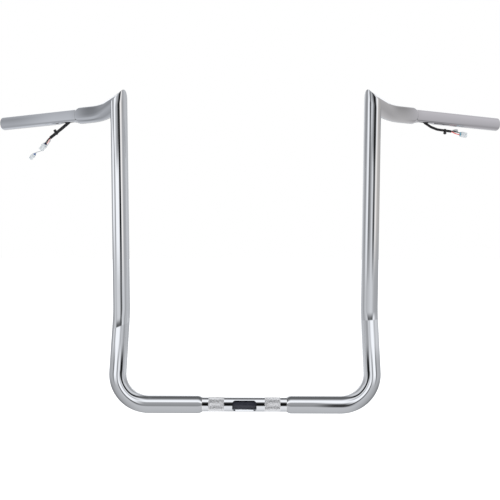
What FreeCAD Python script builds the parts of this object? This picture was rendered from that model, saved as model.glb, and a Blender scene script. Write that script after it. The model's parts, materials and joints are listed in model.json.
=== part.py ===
import FreeCAD, Part
import math
import os

# Tall motorcycle handlebar, pre-wired, with pointed mitred tops and stepped grips.
# Millimetres. Origin: centre of the clamp tube.
# +X is to the rider's left, -Y is the front of the bike, +Y is the rider's side, +Z is up.
# "left_" and "right_" name the sides as seen from the front of the bike, so left_ (-X) is the
# throttle side and right_ (+X) is the clutch side.

Vector = FreeCAD.Vector
ORIGIN, X_AXIS, Z_AXIS = Vector(0, 0, 0), Vector(1, 0, 0), Vector(0, 0, 1)

# ---------------------------------------------------------------- driving dimensions
TUBE_R = 15.875          # 1-1/4 inch outer tube
TUBE_BORE_R = 12.825     # its bore, which takes a 1 inch tube
BAR_R = 12.7             # 1 inch clamp tube and grip tubes
BAR_BORE_R = 9.65        # their bore
KNURL_R = 12.95          # crest radius of the knurled clamp bands
KNURL_IN_X = 36.3        # inner edge of each knurled band
KNURL_OUT_X = 64.8       # outer edge of each knurled band
CLAMP_HALF = 118.0       # half length of the clamp tube, with its ends inside the risers
STEP_X = 76.5            # end face of the lower tube
SHOULDER_L = 8.0         # length of the rounded shoulder on each 1-1/4 inch end
SHOULDER_R = 13.2        # radius left at the end of the shoulder
WELD_L = 2.4             # length of the fillet weld ring
WELD_HOLLOW = 0.36       # place of its arc's midpoint, as a share of each leg; below 0.5 is hollow

SLOT_HALF_X = 21.8       # wiring slot in the clamp tube
SLOT_HALF_H = 9.65
SLOT_CORNER = 5.5
SLOT_TILT = math.radians(6.5)    # below the horizontal, facing the front
LIP_HALF_X = 16.3        # sloping lip left along the slot's lower edge
LIP_SLOPE = math.radians(49.0)
LIP_HALF_L, LIP_T, LIP_CORNER = 5.5, 9.0, 0.8    # block that leaves the lip
LIP_SHIFT = 4.0          # block centre, up the slope from the slot's lower edge

CORNER_LOW = Vector(232.5, 0.0, 0.0)     # centreline corners of the right riser tube
CORNER_KNEE = Vector(231.37, 72.97, 160.0)
MITRE = Vector(237.12, 76.06, 554.7)     # centre of the mitred top joint
BEND_LOW_R = 60.0
BEND_KNEE_R = 80.0
DRAIN_X, DRAIN_HALF_L, DRAIN_HALF_W = 163.6, 6.0, 4.0   # oval hole under each lower tube

ELBOW_PLAN = 52.2        # degrees of pullback of the elbow where it leaves the mitre
ELBOW_DROP = 16.03       # degrees below the horizontal there
ELBOW_STRAIGHT = 35.0    # straight length before the elbow's bend
ELBOW_BEND_R = 96.0
ELBOW_TAIL = 26.0        # straight length after the bend, before the shoulder
GRIP_PLAN = 26.0         # degrees of pullback of the grips
GRIP_DROP = 2.21         # degrees the grips fall towards their ends
GRIP_L_LEFT = 183.0      # visible length of the 1 inch grip tube on the throttle side
GRIP_L_RIGHT = 197.0     # and on the clutch side
GRIP_IN = 31.0           # length of grip tube inside the elbow
GRIP_END_FILLET = 1.6

# Places along a grip are measured outwards from the elbow's end face.
DIMPLE_START, DIMPLE_END = 3.5, 46.0     # pressed wire relief under the grip
DIMPLE_DEPTH, DIMPLE_RAMP = 2.0, 4.0
DIMPLE_CLEAR = 0.2       # height of the ramp ends outside the tube surface
RELIEF_START, RELIEF_END = 2.8, 46.8     # under-size stretch of tube round the wire relief
RELIEF_UNDER, RELIEF_TAPER = 0.2, 0.8
EXIT_ALONG = 24.0        # centre of the wire exit hole
EXIT_HALF_L, EXIT_HALF_W = 8.0, 4.6

WRAP_R, WRAP_HALF = 8.2, 33.0            # loom wrap behind the slot
LOOM_R = 4.0
LOOM_GAP = 0.5           # between the wrap and each loom
LOOM_MITRE_R = 12.0      # loom bend at the mitre
LOOM_END = 14.5          # end of the loom along the grip

OVERRUN = 1.0            # extra length of a cutter past a face
HOLE_CUT_L = 20.0        # length of the cutters for slots and holes
MITRE_CUT_R, MITRE_CUT_L = 70.0, 120.0
RISER_EXTRA, ELBOW_EXTRA = 45.0, 40.0    # tube lengths past the mitre before it is cut


# ---------------------------------------------------------------- helpers
def unit(vector):
    result = Vector(vector)
    result.normalize()
    return result


def filleted(points, radii):
    """Edges of a line-and-arc path through points, with radii[i] at inner corner i+1."""
    edges, last = [], points[0]
    for before, corner, after, radius in zip(points, points[1:], points[2:], radii):
        inbound = unit(corner - before)
        outbound = unit(after - corner)
        turn = inbound.getAngle(outbound)
        setback = radius * math.tan(turn / 2)
        arc_start, arc_end = corner - inbound * setback, corner + outbound * setback
        inward = unit(outbound - inbound)
        middle = corner + inward * (radius / math.cos(turn / 2) - radius)
        edges.append(Part.makeLine(last, arc_start))
        edges.append(Part.Arc(arc_start, middle, arc_end).toShape())
        last = arc_end
    edges.append(Part.makeLine(last, points[-1]))
    return edges


def sweep(points, radii, radius):
    """Solid of the given radius along a line-and-arc path."""
    path = Part.Wire(filleted(points, radii))
    circle = Part.makeCircle(radius, points[0], unit(points[1] - points[0]))
    shape = path.makePipeShell([Part.Wire([circle])], True, True)
    # The pipe may come back as a shell, or inside out.
    if shape.ShapeType != "Solid":
        shape = Part.makeSolid(shape)
    if shape.Volume < 0:
        shape.reverse()
    return shape


def oriented(x_dir, z_dir, origin):
    """Placement whose local Z follows z_dir, with local X as near x_dir as it can be."""
    z = unit(z_dir)
    x = unit(x_dir - z * x_dir.dot(z))
    y = z.cross(x)
    return FreeCAD.Placement(FreeCAD.Matrix(x.x, y.x, z.x, origin.x,
                                            x.y, y.y, z.y, origin.y,
                                            x.z, y.z, z.z, origin.z,
                                            0, 0, 0, 1))


def rounded_bar(half_x, half_y, corner, height, x_dir, z_dir, origin):
    """Prism with rounded corners, centred on origin and rising along z_dir."""
    x, y = half_x, half_y
    inset = corner * (1 - math.sqrt(0.5))
    points = [Vector(px, py, 0) for px, py in (
        (x - corner, -y), (x, -y + corner), (x, y - corner), (x - corner, y),
        (-x + corner, y), (-x, y - corner), (-x, -y + corner), (-x + corner, -y))]
    middles = [Vector(px, py, 0) for px, py in (
        (x - inset, -y + inset), (x - inset, y - inset),
        (-x + inset, y - inset), (-x + inset, -y + inset))]
    edges = []
    for i, middle in enumerate(middles):
        start, end, following = points[2 * i], points[2 * i + 1], points[(2 * i + 2) % 8]
        edges.append(Part.Arc(start, middle, end).toShape())
        edges.append(Part.makeLine(end, following))
    bar = Part.Face(Part.Wire(edges)).extrude(Vector(0, 0, height))
    bar.Placement = oriented(x_dir, z_dir, origin)
    return bar


def oval_cutter(half_length, half_width, x_dir, z_dir, origin):
    """Cutter for an oval hole, its ends just short of full half circles."""
    return rounded_bar(half_length, half_width, half_width - 0.01, HOLE_CUT_L,
                       x_dir, z_dir, origin)


def revolved(profile, origin, axis):
    """Solid of revolution about axis from closed edges in local (radius, 0, along)."""
    solid = Part.Face(Part.Wire(profile)).revolve(ORIGIN, Z_AXIS, 360)
    seam_dir = Vector(0.3, 0.7, 0.2)     # parallel to none of the tube axes
    solid.Placement = oriented(seam_dir, axis, origin)
    return solid


def shoulder(origin, axis):
    """Rounded end of a 1-1/4 inch tube: full radius at origin, SHOULDER_R at the far end."""
    drop = TUBE_R - SHOULDER_R
    arc_r = (SHOULDER_L ** 2 + drop ** 2) / (2 * drop)
    angle = math.asin(SHOULDER_L / arc_r) / 2
    middle = Vector(TUBE_R - arc_r + arc_r * math.cos(angle), 0, arc_r * math.sin(angle))
    outer_start, outer_end = Vector(TUBE_R, 0, 0), Vector(SHOULDER_R, 0, SHOULDER_L)
    bore_start, bore_end = Vector(TUBE_BORE_R, 0, 0), Vector(TUBE_BORE_R, 0, SHOULDER_L)
    profile = [Part.Arc(outer_start, middle, outer_end).toShape(),
               Part.makeLine(outer_end, bore_end),
               Part.makeLine(bore_end, bore_start),
               Part.makeLine(bore_start, outer_start)]
    return revolved(profile, origin, axis)


def weld_ring(origin, axis):
    """Concave fillet weld between a tube end face and the 1 inch tube."""
    root, on_face, on_bar = Vector(BAR_R, 0, 0), Vector(SHOULDER_R, 0, 0), Vector(BAR_R, 0, WELD_L)
    middle = Vector(BAR_R + (SHOULDER_R - BAR_R) * WELD_HOLLOW, 0, WELD_L * WELD_HOLLOW)
    profile = [Part.makeLine(root, on_face),
               Part.Arc(on_face, middle, on_bar).toShape(),
               Part.makeLine(on_bar, root)]
    return revolved(profile, origin, axis)


def flip(vector):
    return Vector(-vector.x, vector.y, vector.z)


def mirrored(shape):
    return shape.mirror(ORIGIN, X_AXIS)


NODES = {}


def add_pair(name, shape):
    """Store a right side piece and its mirror image."""
    NODES["right_" + name] = shape
    NODES["left_" + name] = mirrored(shape)


# ---------------------------------------------------------------- upper joint and grip frames
def heading(plan, drop):
    """Direction to +X, turned plan degrees back to the rider and drop degrees down."""
    plan, drop = math.radians(plan), math.radians(drop)
    return Vector(math.cos(drop) * math.cos(plan), math.cos(drop) * math.sin(plan),
                  -math.sin(drop))


riser_dir = unit(MITRE - CORNER_KNEE)
elbow_dir = heading(ELBOW_PLAN, ELBOW_DROP)
grip_dir = heading(GRIP_PLAN, GRIP_DROP)
mitre_normal = unit(riser_dir + elbow_dir)
elbow_setback = ELBOW_BEND_R * math.tan(elbow_dir.getAngle(grip_dir) / 2)
elbow_corner = MITRE + elbow_dir * (ELBOW_STRAIGHT + elbow_setback)
shoulder_at = elbow_corner + grip_dir * (elbow_setback + ELBOW_TAIL)
grip_at = shoulder_at + grip_dir * SHOULDER_L    # elbow end face, where the visible grip starts
grip_down = unit(Vector(0, 0, -1) - grip_dir * Vector(0, 0, -1).dot(grip_dir))


class GripFrame:
    """Frame of one grip: out along its axis, down below it, rider towards the rider."""

    def __init__(self, origin, out, down, rider):
        self.origin, self.out, self.down, self.rider = origin, out, down, rider

    def at(self, out, down=0.0, rider=0.0):
        return self.origin + self.out * out + self.down * down + self.rider * rider

    def toward(self, out, down):
        return unit(self.out * out + self.down * down)


right_axes = (grip_at, grip_dir, grip_down, grip_dir.cross(grip_down))
RIGHT = GripFrame(*right_axes)
LEFT = GripFrame(*[flip(vector) for vector in right_axes])


# ---------------------------------------------------------------- tubes
def clamp_tube():
    """Clamp tube with two knurled bands and the wiring slot in front."""
    tube = Part.makeCylinder(BAR_R, 2 * CLAMP_HALF, Vector(-CLAMP_HALF, 0, 0), X_AXIS)
    for x in (-KNURL_OUT_X, KNURL_IN_X):
        band = Part.makeCylinder(KNURL_R, KNURL_OUT_X - KNURL_IN_X, Vector(x, 0, 0), X_AXIS)
        tube = tube.fuse(band)
    tube = tube.cut(Part.makeCylinder(BAR_BORE_R, 2 * (CLAMP_HALF + OVERRUN),
                                      Vector(-CLAMP_HALF - OVERRUN, 0, 0), X_AXIS))

    slot_out = Vector(0, -math.cos(SLOT_TILT), -math.sin(SLOT_TILT))
    slot = rounded_bar(SLOT_HALF_X, SLOT_HALF_H, SLOT_CORNER, HOLE_CUT_L,
                       X_AXIS, slot_out, ORIGIN)
    edge_angle = SLOT_TILT + math.asin(SLOT_HALF_H / BAR_R)
    lower_edge = Vector(0, -math.cos(edge_angle), -math.sin(edge_angle)) * BAR_R
    up_slope = Vector(0, math.cos(LIP_SLOPE), math.sin(LIP_SLOPE))
    under_slope = Vector(0, math.sin(LIP_SLOPE), -math.cos(LIP_SLOPE))
    lip = rounded_bar(LIP_HALF_X, LIP_HALF_L, LIP_CORNER, LIP_T,
                      X_AXIS, under_slope, lower_edge + up_slope * LIP_SHIFT)
    return tube.cut(slot.cut(lip))


def riser_tube():
    """Right riser: one bent tube with a mitred top and a drain hole."""
    start = Vector(STEP_X + SHOULDER_L, 0, 0)
    path = [start, CORNER_LOW, CORNER_KNEE, MITRE + riser_dir * RISER_EXTRA]
    radii = [BEND_LOW_R, BEND_KNEE_R]
    outer = sweep(path, radii, TUBE_R)
    inner = sweep([start - X_AXIS * OVERRUN] + path[1:], radii, TUBE_BORE_R)
    tube = outer.cut(inner)
    tube = tube.cut(Part.makeCylinder(MITRE_CUT_R, MITRE_CUT_L, MITRE, mitre_normal))
    tube = tube.fuse(shoulder(start, X_AXIS * -1))
    drain = oval_cutter(DRAIN_HALF_L, DRAIN_HALF_W, X_AXIS, Z_AXIS * -1, Vector(DRAIN_X, 0, 0))
    return tube.cut(drain).removeSplitter()


def elbow_tube():
    """Right elbow, from the mitre to the rounded shoulder at the grip."""
    start = MITRE - elbow_dir * ELBOW_EXTRA
    outer = sweep([start, elbow_corner, shoulder_at], [ELBOW_BEND_R], TUBE_R)
    inner = sweep([start - elbow_dir * OVERRUN, elbow_corner, shoulder_at + grip_dir * OVERRUN],
                  [ELBOW_BEND_R], TUBE_BORE_R)
    tube = outer.cut(inner)
    tube = tube.cut(Part.makeCylinder(MITRE_CUT_R, MITRE_CUT_L, MITRE, mitre_normal * -1))
    return tube.fuse(shoulder(shoulder_at, grip_dir)).removeSplitter()


def undersize_cutter(side):
    """Sleeve that takes the tube under size round the wire relief, with tapered ends."""
    under = BAR_R - RELIEF_UNDER
    length = RELIEF_END - RELIEF_START
    core = Part.makeCone(BAR_R, under, RELIEF_TAPER, side.at(RELIEF_START), side.out)
    core = core.fuse(Part.makeCylinder(under, length - 2 * RELIEF_TAPER,
                                       side.at(RELIEF_START + RELIEF_TAPER), side.out))
    core = core.fuse(Part.makeCone(under, BAR_R, RELIEF_TAPER,
                                   side.at(RELIEF_END - RELIEF_TAPER), side.out))
    return Part.makeCylinder(BAR_R + 1, length, side.at(RELIEF_START), side.out).cut(core)


def dimple_cutter(side):
    """Prism with ramped ends that flattens the underside of the grip tube."""
    half_width, outside = 12.0, 20.0
    flat, mouth = BAR_R - DIMPLE_DEPTH, BAR_R + DIMPLE_CLEAR
    profile = [(DIMPLE_START, outside), (DIMPLE_START, mouth), (DIMPLE_START + DIMPLE_RAMP, flat),
               (DIMPLE_END - DIMPLE_RAMP, flat), (DIMPLE_END, mouth), (DIMPLE_END, outside)]
    points = [side.at(out, down, -half_width) for out, down in profile]
    outline = Part.makePolygon(points + [points[0]])
    return Part.Face(outline).extrude(side.rider * (2 * half_width))


def grip_tube(length):
    """Clutch side grip tube; the throttle side is its mirror image with its own length."""
    side = RIGHT
    tube = Part.makeCylinder(BAR_R, GRIP_IN + length, side.at(-GRIP_IN), side.out)
    # The end circle; the length limit leaves out the seam.
    end_edges = [edge for edge in tube.Edges
                 if edge.Length < 100 and (edge.CenterOfMass - side.at(length)).Length < 1]
    tube = tube.makeFillet(GRIP_END_FILLET, end_edges)
    tube = tube.cut(Part.makeCylinder(BAR_BORE_R, GRIP_IN + length + 2 * OVERRUN,
                                      side.at(-GRIP_IN - OVERRUN), side.out))
    tube = tube.cut(undersize_cutter(side))
    tube = tube.cut(dimple_cutter(side))
    return tube.cut(oval_cutter(EXIT_HALF_L, EXIT_HALF_W, side.out, side.down,
                                side.at(EXIT_ALONG)))


NODES["clamp_tube"] = clamp_tube()
add_pair("riser_tube", riser_tube())
add_pair("elbow_tube", elbow_tube())
NODES["right_grip_tube"] = grip_tube(GRIP_L_RIGHT)
NODES["left_grip_tube"] = mirrored(grip_tube(GRIP_L_LEFT))
add_pair("clamp_weld", weld_ring(Vector(STEP_X, 0, 0), X_AXIS * -1))
add_pair("grip_weld", weld_ring(grip_at, grip_dir))

# ---------------------------------------------------------------- wiring inside the tubes
NODES["slot_loom_wrap"] = Part.makeCylinder(WRAP_R, 2 * WRAP_HALF, Vector(-WRAP_HALF, 0, 0), X_AXIS)
add_pair("inner_loom", sweep(
    [Vector(WRAP_HALF + LOOM_GAP, 0, 0), CORNER_LOW, CORNER_KNEE, MITRE, elbow_corner,
     RIGHT.at(LOOM_END)],
    [BEND_LOW_R, BEND_KNEE_R, LOOM_MITRE_R, ELBOW_BEND_R], LOOM_R))

# ---------------------------------------------------------------- throttle side: twist sensor
BAR_END_R = 9.58                         # sensor body and plug, inside the grip bore
SENSOR_L = 56.0
SENSOR_FACE = GRIP_L_LEFT - 4.2          # outer face of the sensor body, along the grip
SOCKET_R, SOCKET_L = 3.06, 27.5          # bore in the body for the rotor shaft
ROTOR_R, ROTOR_T, ROTOR_GAP = 9.42, 3.0, 0.4
SHAFT_R, SHAFT_L, SHAFT_IN = 3.0, 27.0, 26.2
RECESS_R, RECESS_L, RECESS_START = 2.0, 6.0, 1.0
DOG_BORE_R, DOG_L, DOG_START = 6.2, 4.6, 3.0     # two drive dogs on the rotor's outer face
DOG_W, DOG_INNER = 6.4, 4.0              # width of each dog's keeper box, and its inner face
LEAD_R, LEAD_START, LEAD_ABOVE, LEAD_GAP = 1.6, 19.0, 4.5, 0.4


def left_cylinder(radius, length, start):
    """Cylinder on the throttle side grip axis."""
    return Part.makeCylinder(radius, length, LEFT.at(start), LEFT.out)


def sensor_rotor():
    """Disc and shaft with two outward dogs and a central recess."""
    rotor = left_cylinder(ROTOR_R, ROTOR_T, SENSOR_FACE + ROTOR_GAP)
    rotor = rotor.fuse(left_cylinder(SHAFT_R, SHAFT_L, SENSOR_FACE - SHAFT_IN))
    for sign in (1, -1):
        dog = left_cylinder(ROTOR_R, DOG_L, SENSOR_FACE + DOG_START)
        dog = dog.cut(left_cylinder(DOG_BORE_R, 5.0, SENSOR_FACE + DOG_START - 0.1))
        outward = LEFT.down * sign
        keep = Part.makeBox(8, DOG_W, 12)
        keep.Placement = oriented(outward, LEFT.out, LEFT.at(SENSOR_FACE - 2, DOG_INNER * sign)
                                  - LEFT.out.cross(outward) * (DOG_W / 2))
        rotor = rotor.fuse(dog.common(keep))
    rotor = rotor.cut(left_cylinder(RECESS_R, RECESS_L, SENSOR_FACE + RECESS_START))
    return rotor.removeSplitter()


NODES["throttle_sensor_body"] = left_cylinder(BAR_END_R, SENSOR_L, SENSOR_FACE - SENSOR_L).cut(
    left_cylinder(SOCKET_R, SOCKET_L, SENSOR_FACE - SOCKET_L))
NODES["throttle_sensor_rotor"] = sensor_rotor()
NODES["sensor_lead"] = Part.makeCylinder(
    LEAD_R, SENSOR_FACE - SENSOR_L - LEAD_GAP - LEAD_START,
    LEFT.at(LEAD_START, -LEAD_ABOVE), LEFT.out)

# ---------------------------------------------------------------- clutch side: pull-out plug
PLUG_L, PLUG_IN = 15.0, 16.0             # body length, and its inner face from the grip end
NOSE_R, NOSE_L, NOSE_OUT = 4.4, 5.0, 3.5     # nose, and how far it stands out of the grip
NOSE_FILLET = 0.9
HOLLOW_R, HOLLOW_L = 7.0, 9.0            # cutter for the hollow in the inner face


def bar_end_plug():
    def cylinder(radius, length, start):
        return Part.makeCylinder(radius, length, RIGHT.at(GRIP_L_RIGHT + start), RIGHT.out)

    plug = cylinder(BAR_END_R, PLUG_L, -PLUG_IN)
    plug = plug.fuse(cylinder(NOSE_R, NOSE_L, NOSE_OUT - NOSE_L))
    tip = RIGHT.at(GRIP_L_RIGHT + NOSE_OUT)
    tip_edges = [edge for edge in plug.Edges if (edge.CenterOfMass - tip).Length < 0.2]
    plug = plug.makeFillet(NOSE_FILLET, tip_edges)
    return plug.cut(cylinder(HOLLOW_R, HOLLOW_L, -PLUG_IN - OVERRUN))


NODES["bar_end_plug"] = bar_end_plug()

# ---------------------------------------------------------------- pigtail parts
# Pairs (out, down) are places or directions in the frame of the grip.
TIE_WALL, TIE_WIDTH, TIE_SLACK = 0.9, 2.6, 0.03
SEAL_GAP = 0.1           # between a connector's seals and its wires
PIN_W = 0.9
SOCKET_WALL = 1.15       # wall round a connector's open socket
SOCKET_START = 0.52      # start of the socket and pins, as a share of the housing length


class Sleeve:
    """Sleeve hanging from the wire exit hole, through (out, down) stations."""

    def __init__(self, name, side, stations, bends, radius, wire_gap):
        self.side, self.stations, self.radius = side, stations, radius
        self.dir = self.leg(-1)
        self.wires_at = side.at(*stations[-1]) + self.dir * wire_gap
        NODES[name] = sweep([side.at(*station) for station in stations], bends, radius)

    def leg(self, index):
        """Direction of the straight run that ends at the station of this index."""
        (out0, down0), (out1, down1) = self.stations[index - 1], self.stations[index]
        return self.side.toward(out1 - out0, down1 - down0)

    def past(self, distance, rider):
        """Point beyond the start of the wires, shifted towards the rider."""
        return self.wires_at + self.dir * distance + self.side.rider * rider


def cable_tie(sleeve, place, axis, head_dir):
    """Closed strap round a sleeve with its locking head."""
    centre = sleeve.side.at(*place)
    strap = Part.makeCylinder(sleeve.radius + TIE_WALL, TIE_WIDTH,
                              centre - axis * (TIE_WIDTH / 2), axis)
    head_dir = sleeve.side.toward(*head_dir)
    head_dir = unit(head_dir - axis * head_dir.dot(axis))
    head = rounded_bar(2.4, 2.1, 0.7, 4.2, axis, head_dir,
                       centre + head_dir * (sleeve.radius + 0.1))
    bore = Part.makeCylinder(sleeve.radius + TIE_SLACK, 8, centre - axis * 4, axis)
    return strap.fuse(head).cut(bore).removeSplitter()


class Connector:
    """Small sealed connector: housing with an open socket, wire seals behind it, pins inside.

    rear is the (out, down) place of its back face and along its (out, down) direction;
    size is (length, width, height); cells are (rider, upper) offsets of its wires.
    """

    def __init__(self, name, side, rear, along, size, cells, rider=0.0, seal_l=2.4, seal_r=1.35):
        self.side, self.seal_l = side, seal_l
        self.rear = side.at(*rear, rider)
        self.dir = side.toward(*along)
        self.upper = side.toward(along[1], -along[0])    # square to dir, on its upper side
        suffix = "s" if len(cells) > 1 else ""
        places = [self.rear + side.rider * across + self.upper * up for across, up in cells]
        NODES[name] = self.housing(*size)
        NODES[name + "_seal" + suffix] = Part.makeCompound(
            [Part.makeCylinder(seal_r, seal_l, place - self.dir * seal_l, self.dir)
             for place in places])
        NODES[name + "_pin" + suffix] = Part.makeCompound(
            [self.pin(place, size[0]) for place in places])

    def bar(self, half_x, half_y, corner, length, start, lift=0.0):
        return rounded_bar(half_x, half_y, corner, length, self.side.rider, self.dir,
                           self.rear + self.dir * start + self.upper * lift)

    def housing(self, length, width, height):
        half_w, half_h = width / 2, height / 2
        body = self.bar(half_w, half_h, 1.1, length, 0.0)
        collar = self.bar(half_w + 0.55, half_h + 0.55, 1.5, 2.4, length * 0.30)
        latch = self.bar(width * 0.22, 0.55, 0.3, length * 0.52, length * 0.42, half_h + 0.35)
        socket = self.bar(half_w - SOCKET_WALL, half_h - SOCKET_WALL, 0.7, length * 0.5,
                          length * SOCKET_START)
        return body.fuse(collar).fuse(latch).cut(socket).removeSplitter()

    def pin(self, place, length):
        pin = Part.makeBox(PIN_W, PIN_W, length * 0.34)
        x_dir, y_dir = self.side.rider, self.dir.cross(self.side.rider)
        corner = place + self.dir * (length * SOCKET_START) - (x_dir + y_dir) * (PIN_W / 2)
        pin.Placement = oriented(x_dir, self.dir, corner)
        return pin

    def entry(self, rider=0.0, up=0.0, back=0.0):
        """Point just behind the seals, or further back by the given distance."""
        return (self.rear - self.dir * (self.seal_l + SEAL_GAP + back)
                + self.side.rider * rider + self.upper * up)


def main_wire(sleeve, plug, straight, bend, start, end, radius):
    """Wire from sleeve to connector; start and end are (rider, upper) offsets."""
    first = sleeve.wires_at + sleeve.side.rider * start[0] + plug.upper * start[1]
    points = [first, first + sleeve.dir * straight, plug.entry(*end, straight), plug.entry(*end)]
    return sweep(points, [bend, bend], radius)


# ---------------------------------------------------------------- throttle side pigtail
sleeve = Sleeve("left_tail_sleeve", LEFT, [(EXIT_ALONG, 11.6), (40.0, 21.0), (68.3, 37.0)],
                [14.0], 3.0, wire_gap=0.45)
NODES["left_cable_tie"] = cable_tie(sleeve, (53.8, 28.8), sleeve.dir, (0.35, -1.0))
plug = Connector("left_main_connector", LEFT, (80.96, 48.44), (11.6, 10.6), (15.0, 9.0, 7.2),
                 [(-1.6, 1.2), (1.0, 1.2), (-1.6, -1.2), (1.0, -1.2)], seal_r=1.12)


def left_wire(start, end, radius):
    return main_wire(sleeve, plug, 3.0, 2.0, start, end, radius)


NODES["left_wires_black"] = Part.makeCompound([left_wire((-1.5, 0.64), (-1.6, 1.2), 0.6),
                                               left_wire((-1.5, -0.64), (-1.6, -1.2), 0.6)])
NODES["left_wire_red"] = left_wire((0.05, -0.95), (1.0, -1.2), 0.55)
NODES["left_wire_green"] = left_wire((0.05, 0.95), (1.0, 1.2), 0.55)

# Branch: thin pair running on the rider's side of the main connector to a small connector.
branch = Connector("left_branch_connector", LEFT, (111.08, 66.33), (11.2, 8.3), (13.0, 7.0, 5.8),
                   [(-1.4, 0.0), (1.4, 0.0)], rider=3.0, seal_l=2.6, seal_r=1.3)
PAIR_OFFSET = 0.62       # each wire from the middle of the pair
PAIR_SPREAD = 2.2        # factor on that offset at the connector


def left_branch_wire(offset):
    spread = offset * PAIR_SPREAD
    points = [sleeve.past(1.1, 1.9 + offset), sleeve.past(2.6, 2.5 + offset),
              LEFT.at(77.0, 45.4, 7.4 + offset), LEFT.at(93.5, 60.0, 7.4 + offset),
              branch.entry(spread, back=2.5), branch.entry(spread)]
    return sweep(points, [1.2] * 4, 0.5)


NODES["left_branch_wires"] = Part.makeCompound(
    [left_branch_wire(-PAIR_OFFSET), left_branch_wire(PAIR_OFFSET)])

# ---------------------------------------------------------------- clutch side pigtail
sleeve = Sleeve("right_tail_sleeve", RIGHT,
                [(EXIT_ALONG, 11.4), (38.8, 18.2), (53.3, 21.8), (69.5, 22.3), (86.3, 22.9)],
                [20.0, 20.0, 30.0], 2.5, wire_gap=0.15)
NODES["right_cable_tie"] = cable_tie(sleeve, (72.0, 22.4), sleeve.leg(3), (0.0, 1.0))
plug = Connector("right_main_connector", RIGHT, (109.6, 26.2), (13.0, 1.7), (13.0, 8.4, 8.8),
                 [(0.0, 1.75), (0.0, -1.75)])
NODES["right_wire_black"] = main_wire(sleeve, plug, 4.0, 3.0, (-0.2, 0.9), (0.0, 1.75), 0.9)
NODES["right_wire_red"] = main_wire(sleeve, plug, 4.0, 3.0, (-0.2, -1.1), (0.0, -1.75), 0.85)

# Branch: short wire to a small connector on the rider's side of the main wires.
branch = Connector("right_branch_connector", RIGHT, (96.6, 20.6), (8.0, -0.4), (9.0, 5.6, 5.0),
                   [(0.0, 0.0)], rider=6.0, seal_l=1.6)
NODES["right_branch_wire"] = sweep(
    [sleeve.past(1.0, 1.5), sleeve.past(2.2, 2.0), branch.entry(back=1.8), branch.entry()],
    [1.0, 1.0], 0.7)

# ---------------------------------------------------------------- export
os.makedirs("parts", exist_ok=True)
for name in sorted(NODES):
    NODES[name].exportStep("parts/" + name + ".step")
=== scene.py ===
# A chromed tube handlebar with its wiring. The clamp tube lies along x through the origin, two
# risers climb in +z, and the grips run out to both sides and back (+y). The front is -y and left
# is -x, as seen from the front. Shapes are worked out in millimetres and built in metres.
import bpy
import bmesh
import json
import math
import numpy as np
from mathutils import Matrix, Vector


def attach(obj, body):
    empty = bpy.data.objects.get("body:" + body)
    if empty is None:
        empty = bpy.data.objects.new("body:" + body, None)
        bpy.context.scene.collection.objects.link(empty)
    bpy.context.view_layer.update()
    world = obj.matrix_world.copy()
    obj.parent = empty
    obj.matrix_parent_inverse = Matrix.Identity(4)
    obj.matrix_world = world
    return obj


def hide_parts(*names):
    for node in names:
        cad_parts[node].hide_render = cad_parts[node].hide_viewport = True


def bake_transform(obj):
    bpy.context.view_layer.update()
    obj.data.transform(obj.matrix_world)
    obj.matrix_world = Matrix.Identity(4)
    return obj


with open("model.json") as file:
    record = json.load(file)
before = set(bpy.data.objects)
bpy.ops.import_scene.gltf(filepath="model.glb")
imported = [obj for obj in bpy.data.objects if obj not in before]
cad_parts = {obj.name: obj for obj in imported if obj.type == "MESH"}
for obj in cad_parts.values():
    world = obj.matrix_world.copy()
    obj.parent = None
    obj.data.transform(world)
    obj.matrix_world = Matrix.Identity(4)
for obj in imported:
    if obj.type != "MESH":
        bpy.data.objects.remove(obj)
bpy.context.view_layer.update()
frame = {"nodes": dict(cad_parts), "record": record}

MM = 0.001
X_AXIS, Z_AXIS = np.array((1.0, 0, 0)), np.array((0, 0, 1.0))
FRONT = np.array((0, -1.0, 0))

# ---------------------------------------------------------------- frame sizes, mm and degrees
TUBE_R, TUBE_BORE_R = 15.875, 12.825          # risers and elbows
BAR_R, BAR_BORE_R = 12.7, 9.65                # clamp tube and grips
KNURL_R, KNURL_IN, KNURL_OUT = 12.95, 36.3, 64.8
CLAMP_HALF, STEP_X = 118.0, 76.5              # half length; where the larger tube starts
SHOULDER_L, SHOULDER_R, WELD_L = 8.0, 13.2, 2.4
SLOT_HALF_X, SLOT_HALF_H, SLOT_CORNER, SLOT_TILT = 21.8, 9.65, 5.5, 6.5
LIP_HALF_X, LIP_TURN = 16.3, 49.0
LOW_CORNER = np.array((232.5, 0.0, 0.0))
KNEE_CORNER = np.array((231.37, 72.97, 160.0))
MITRE = np.array((237.12, 76.06, 554.7))
LOW_BEND_R, KNEE_BEND_R = 60.0, 80.0
ELBOW_PLAN, ELBOW_DROP, ELBOW_STRAIGHT, ELBOW_BEND_R, ELBOW_TAIL = 52.2, 16.03, 35.0, 96.0, 26.0
GRIP_PLAN, GRIP_DROP, GRIP_IN = 26.0, 2.21, 31.0
GRIP_L_LEFT, GRIP_L_RIGHT = 183.0, 197.0
DIMPLE_START, DIMPLE_END, DIMPLE_DEPTH, DIMPLE_RUN = 3.5, 46.0, 2.0, 5.5
EXIT_AT, EXIT_HALF_L, EXIT_HALF_W = 24.0, 8.0, 4.6
DRAIN_X, DRAIN_HALF_L, DRAIN_HALF_W = 163.6, 6.0, 4.0


def unit(vector):
    vector = np.asarray(vector, float)
    return vector / np.linalg.norm(vector)


def plan_dir(plan, drop):
    """Direction turned plan degrees back from +x and dropped below level."""
    plan, drop = math.radians(plan), math.radians(drop)
    return np.array((math.cos(drop) * math.cos(plan), math.cos(drop) * math.sin(plan),
                     -math.sin(drop)))


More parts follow.
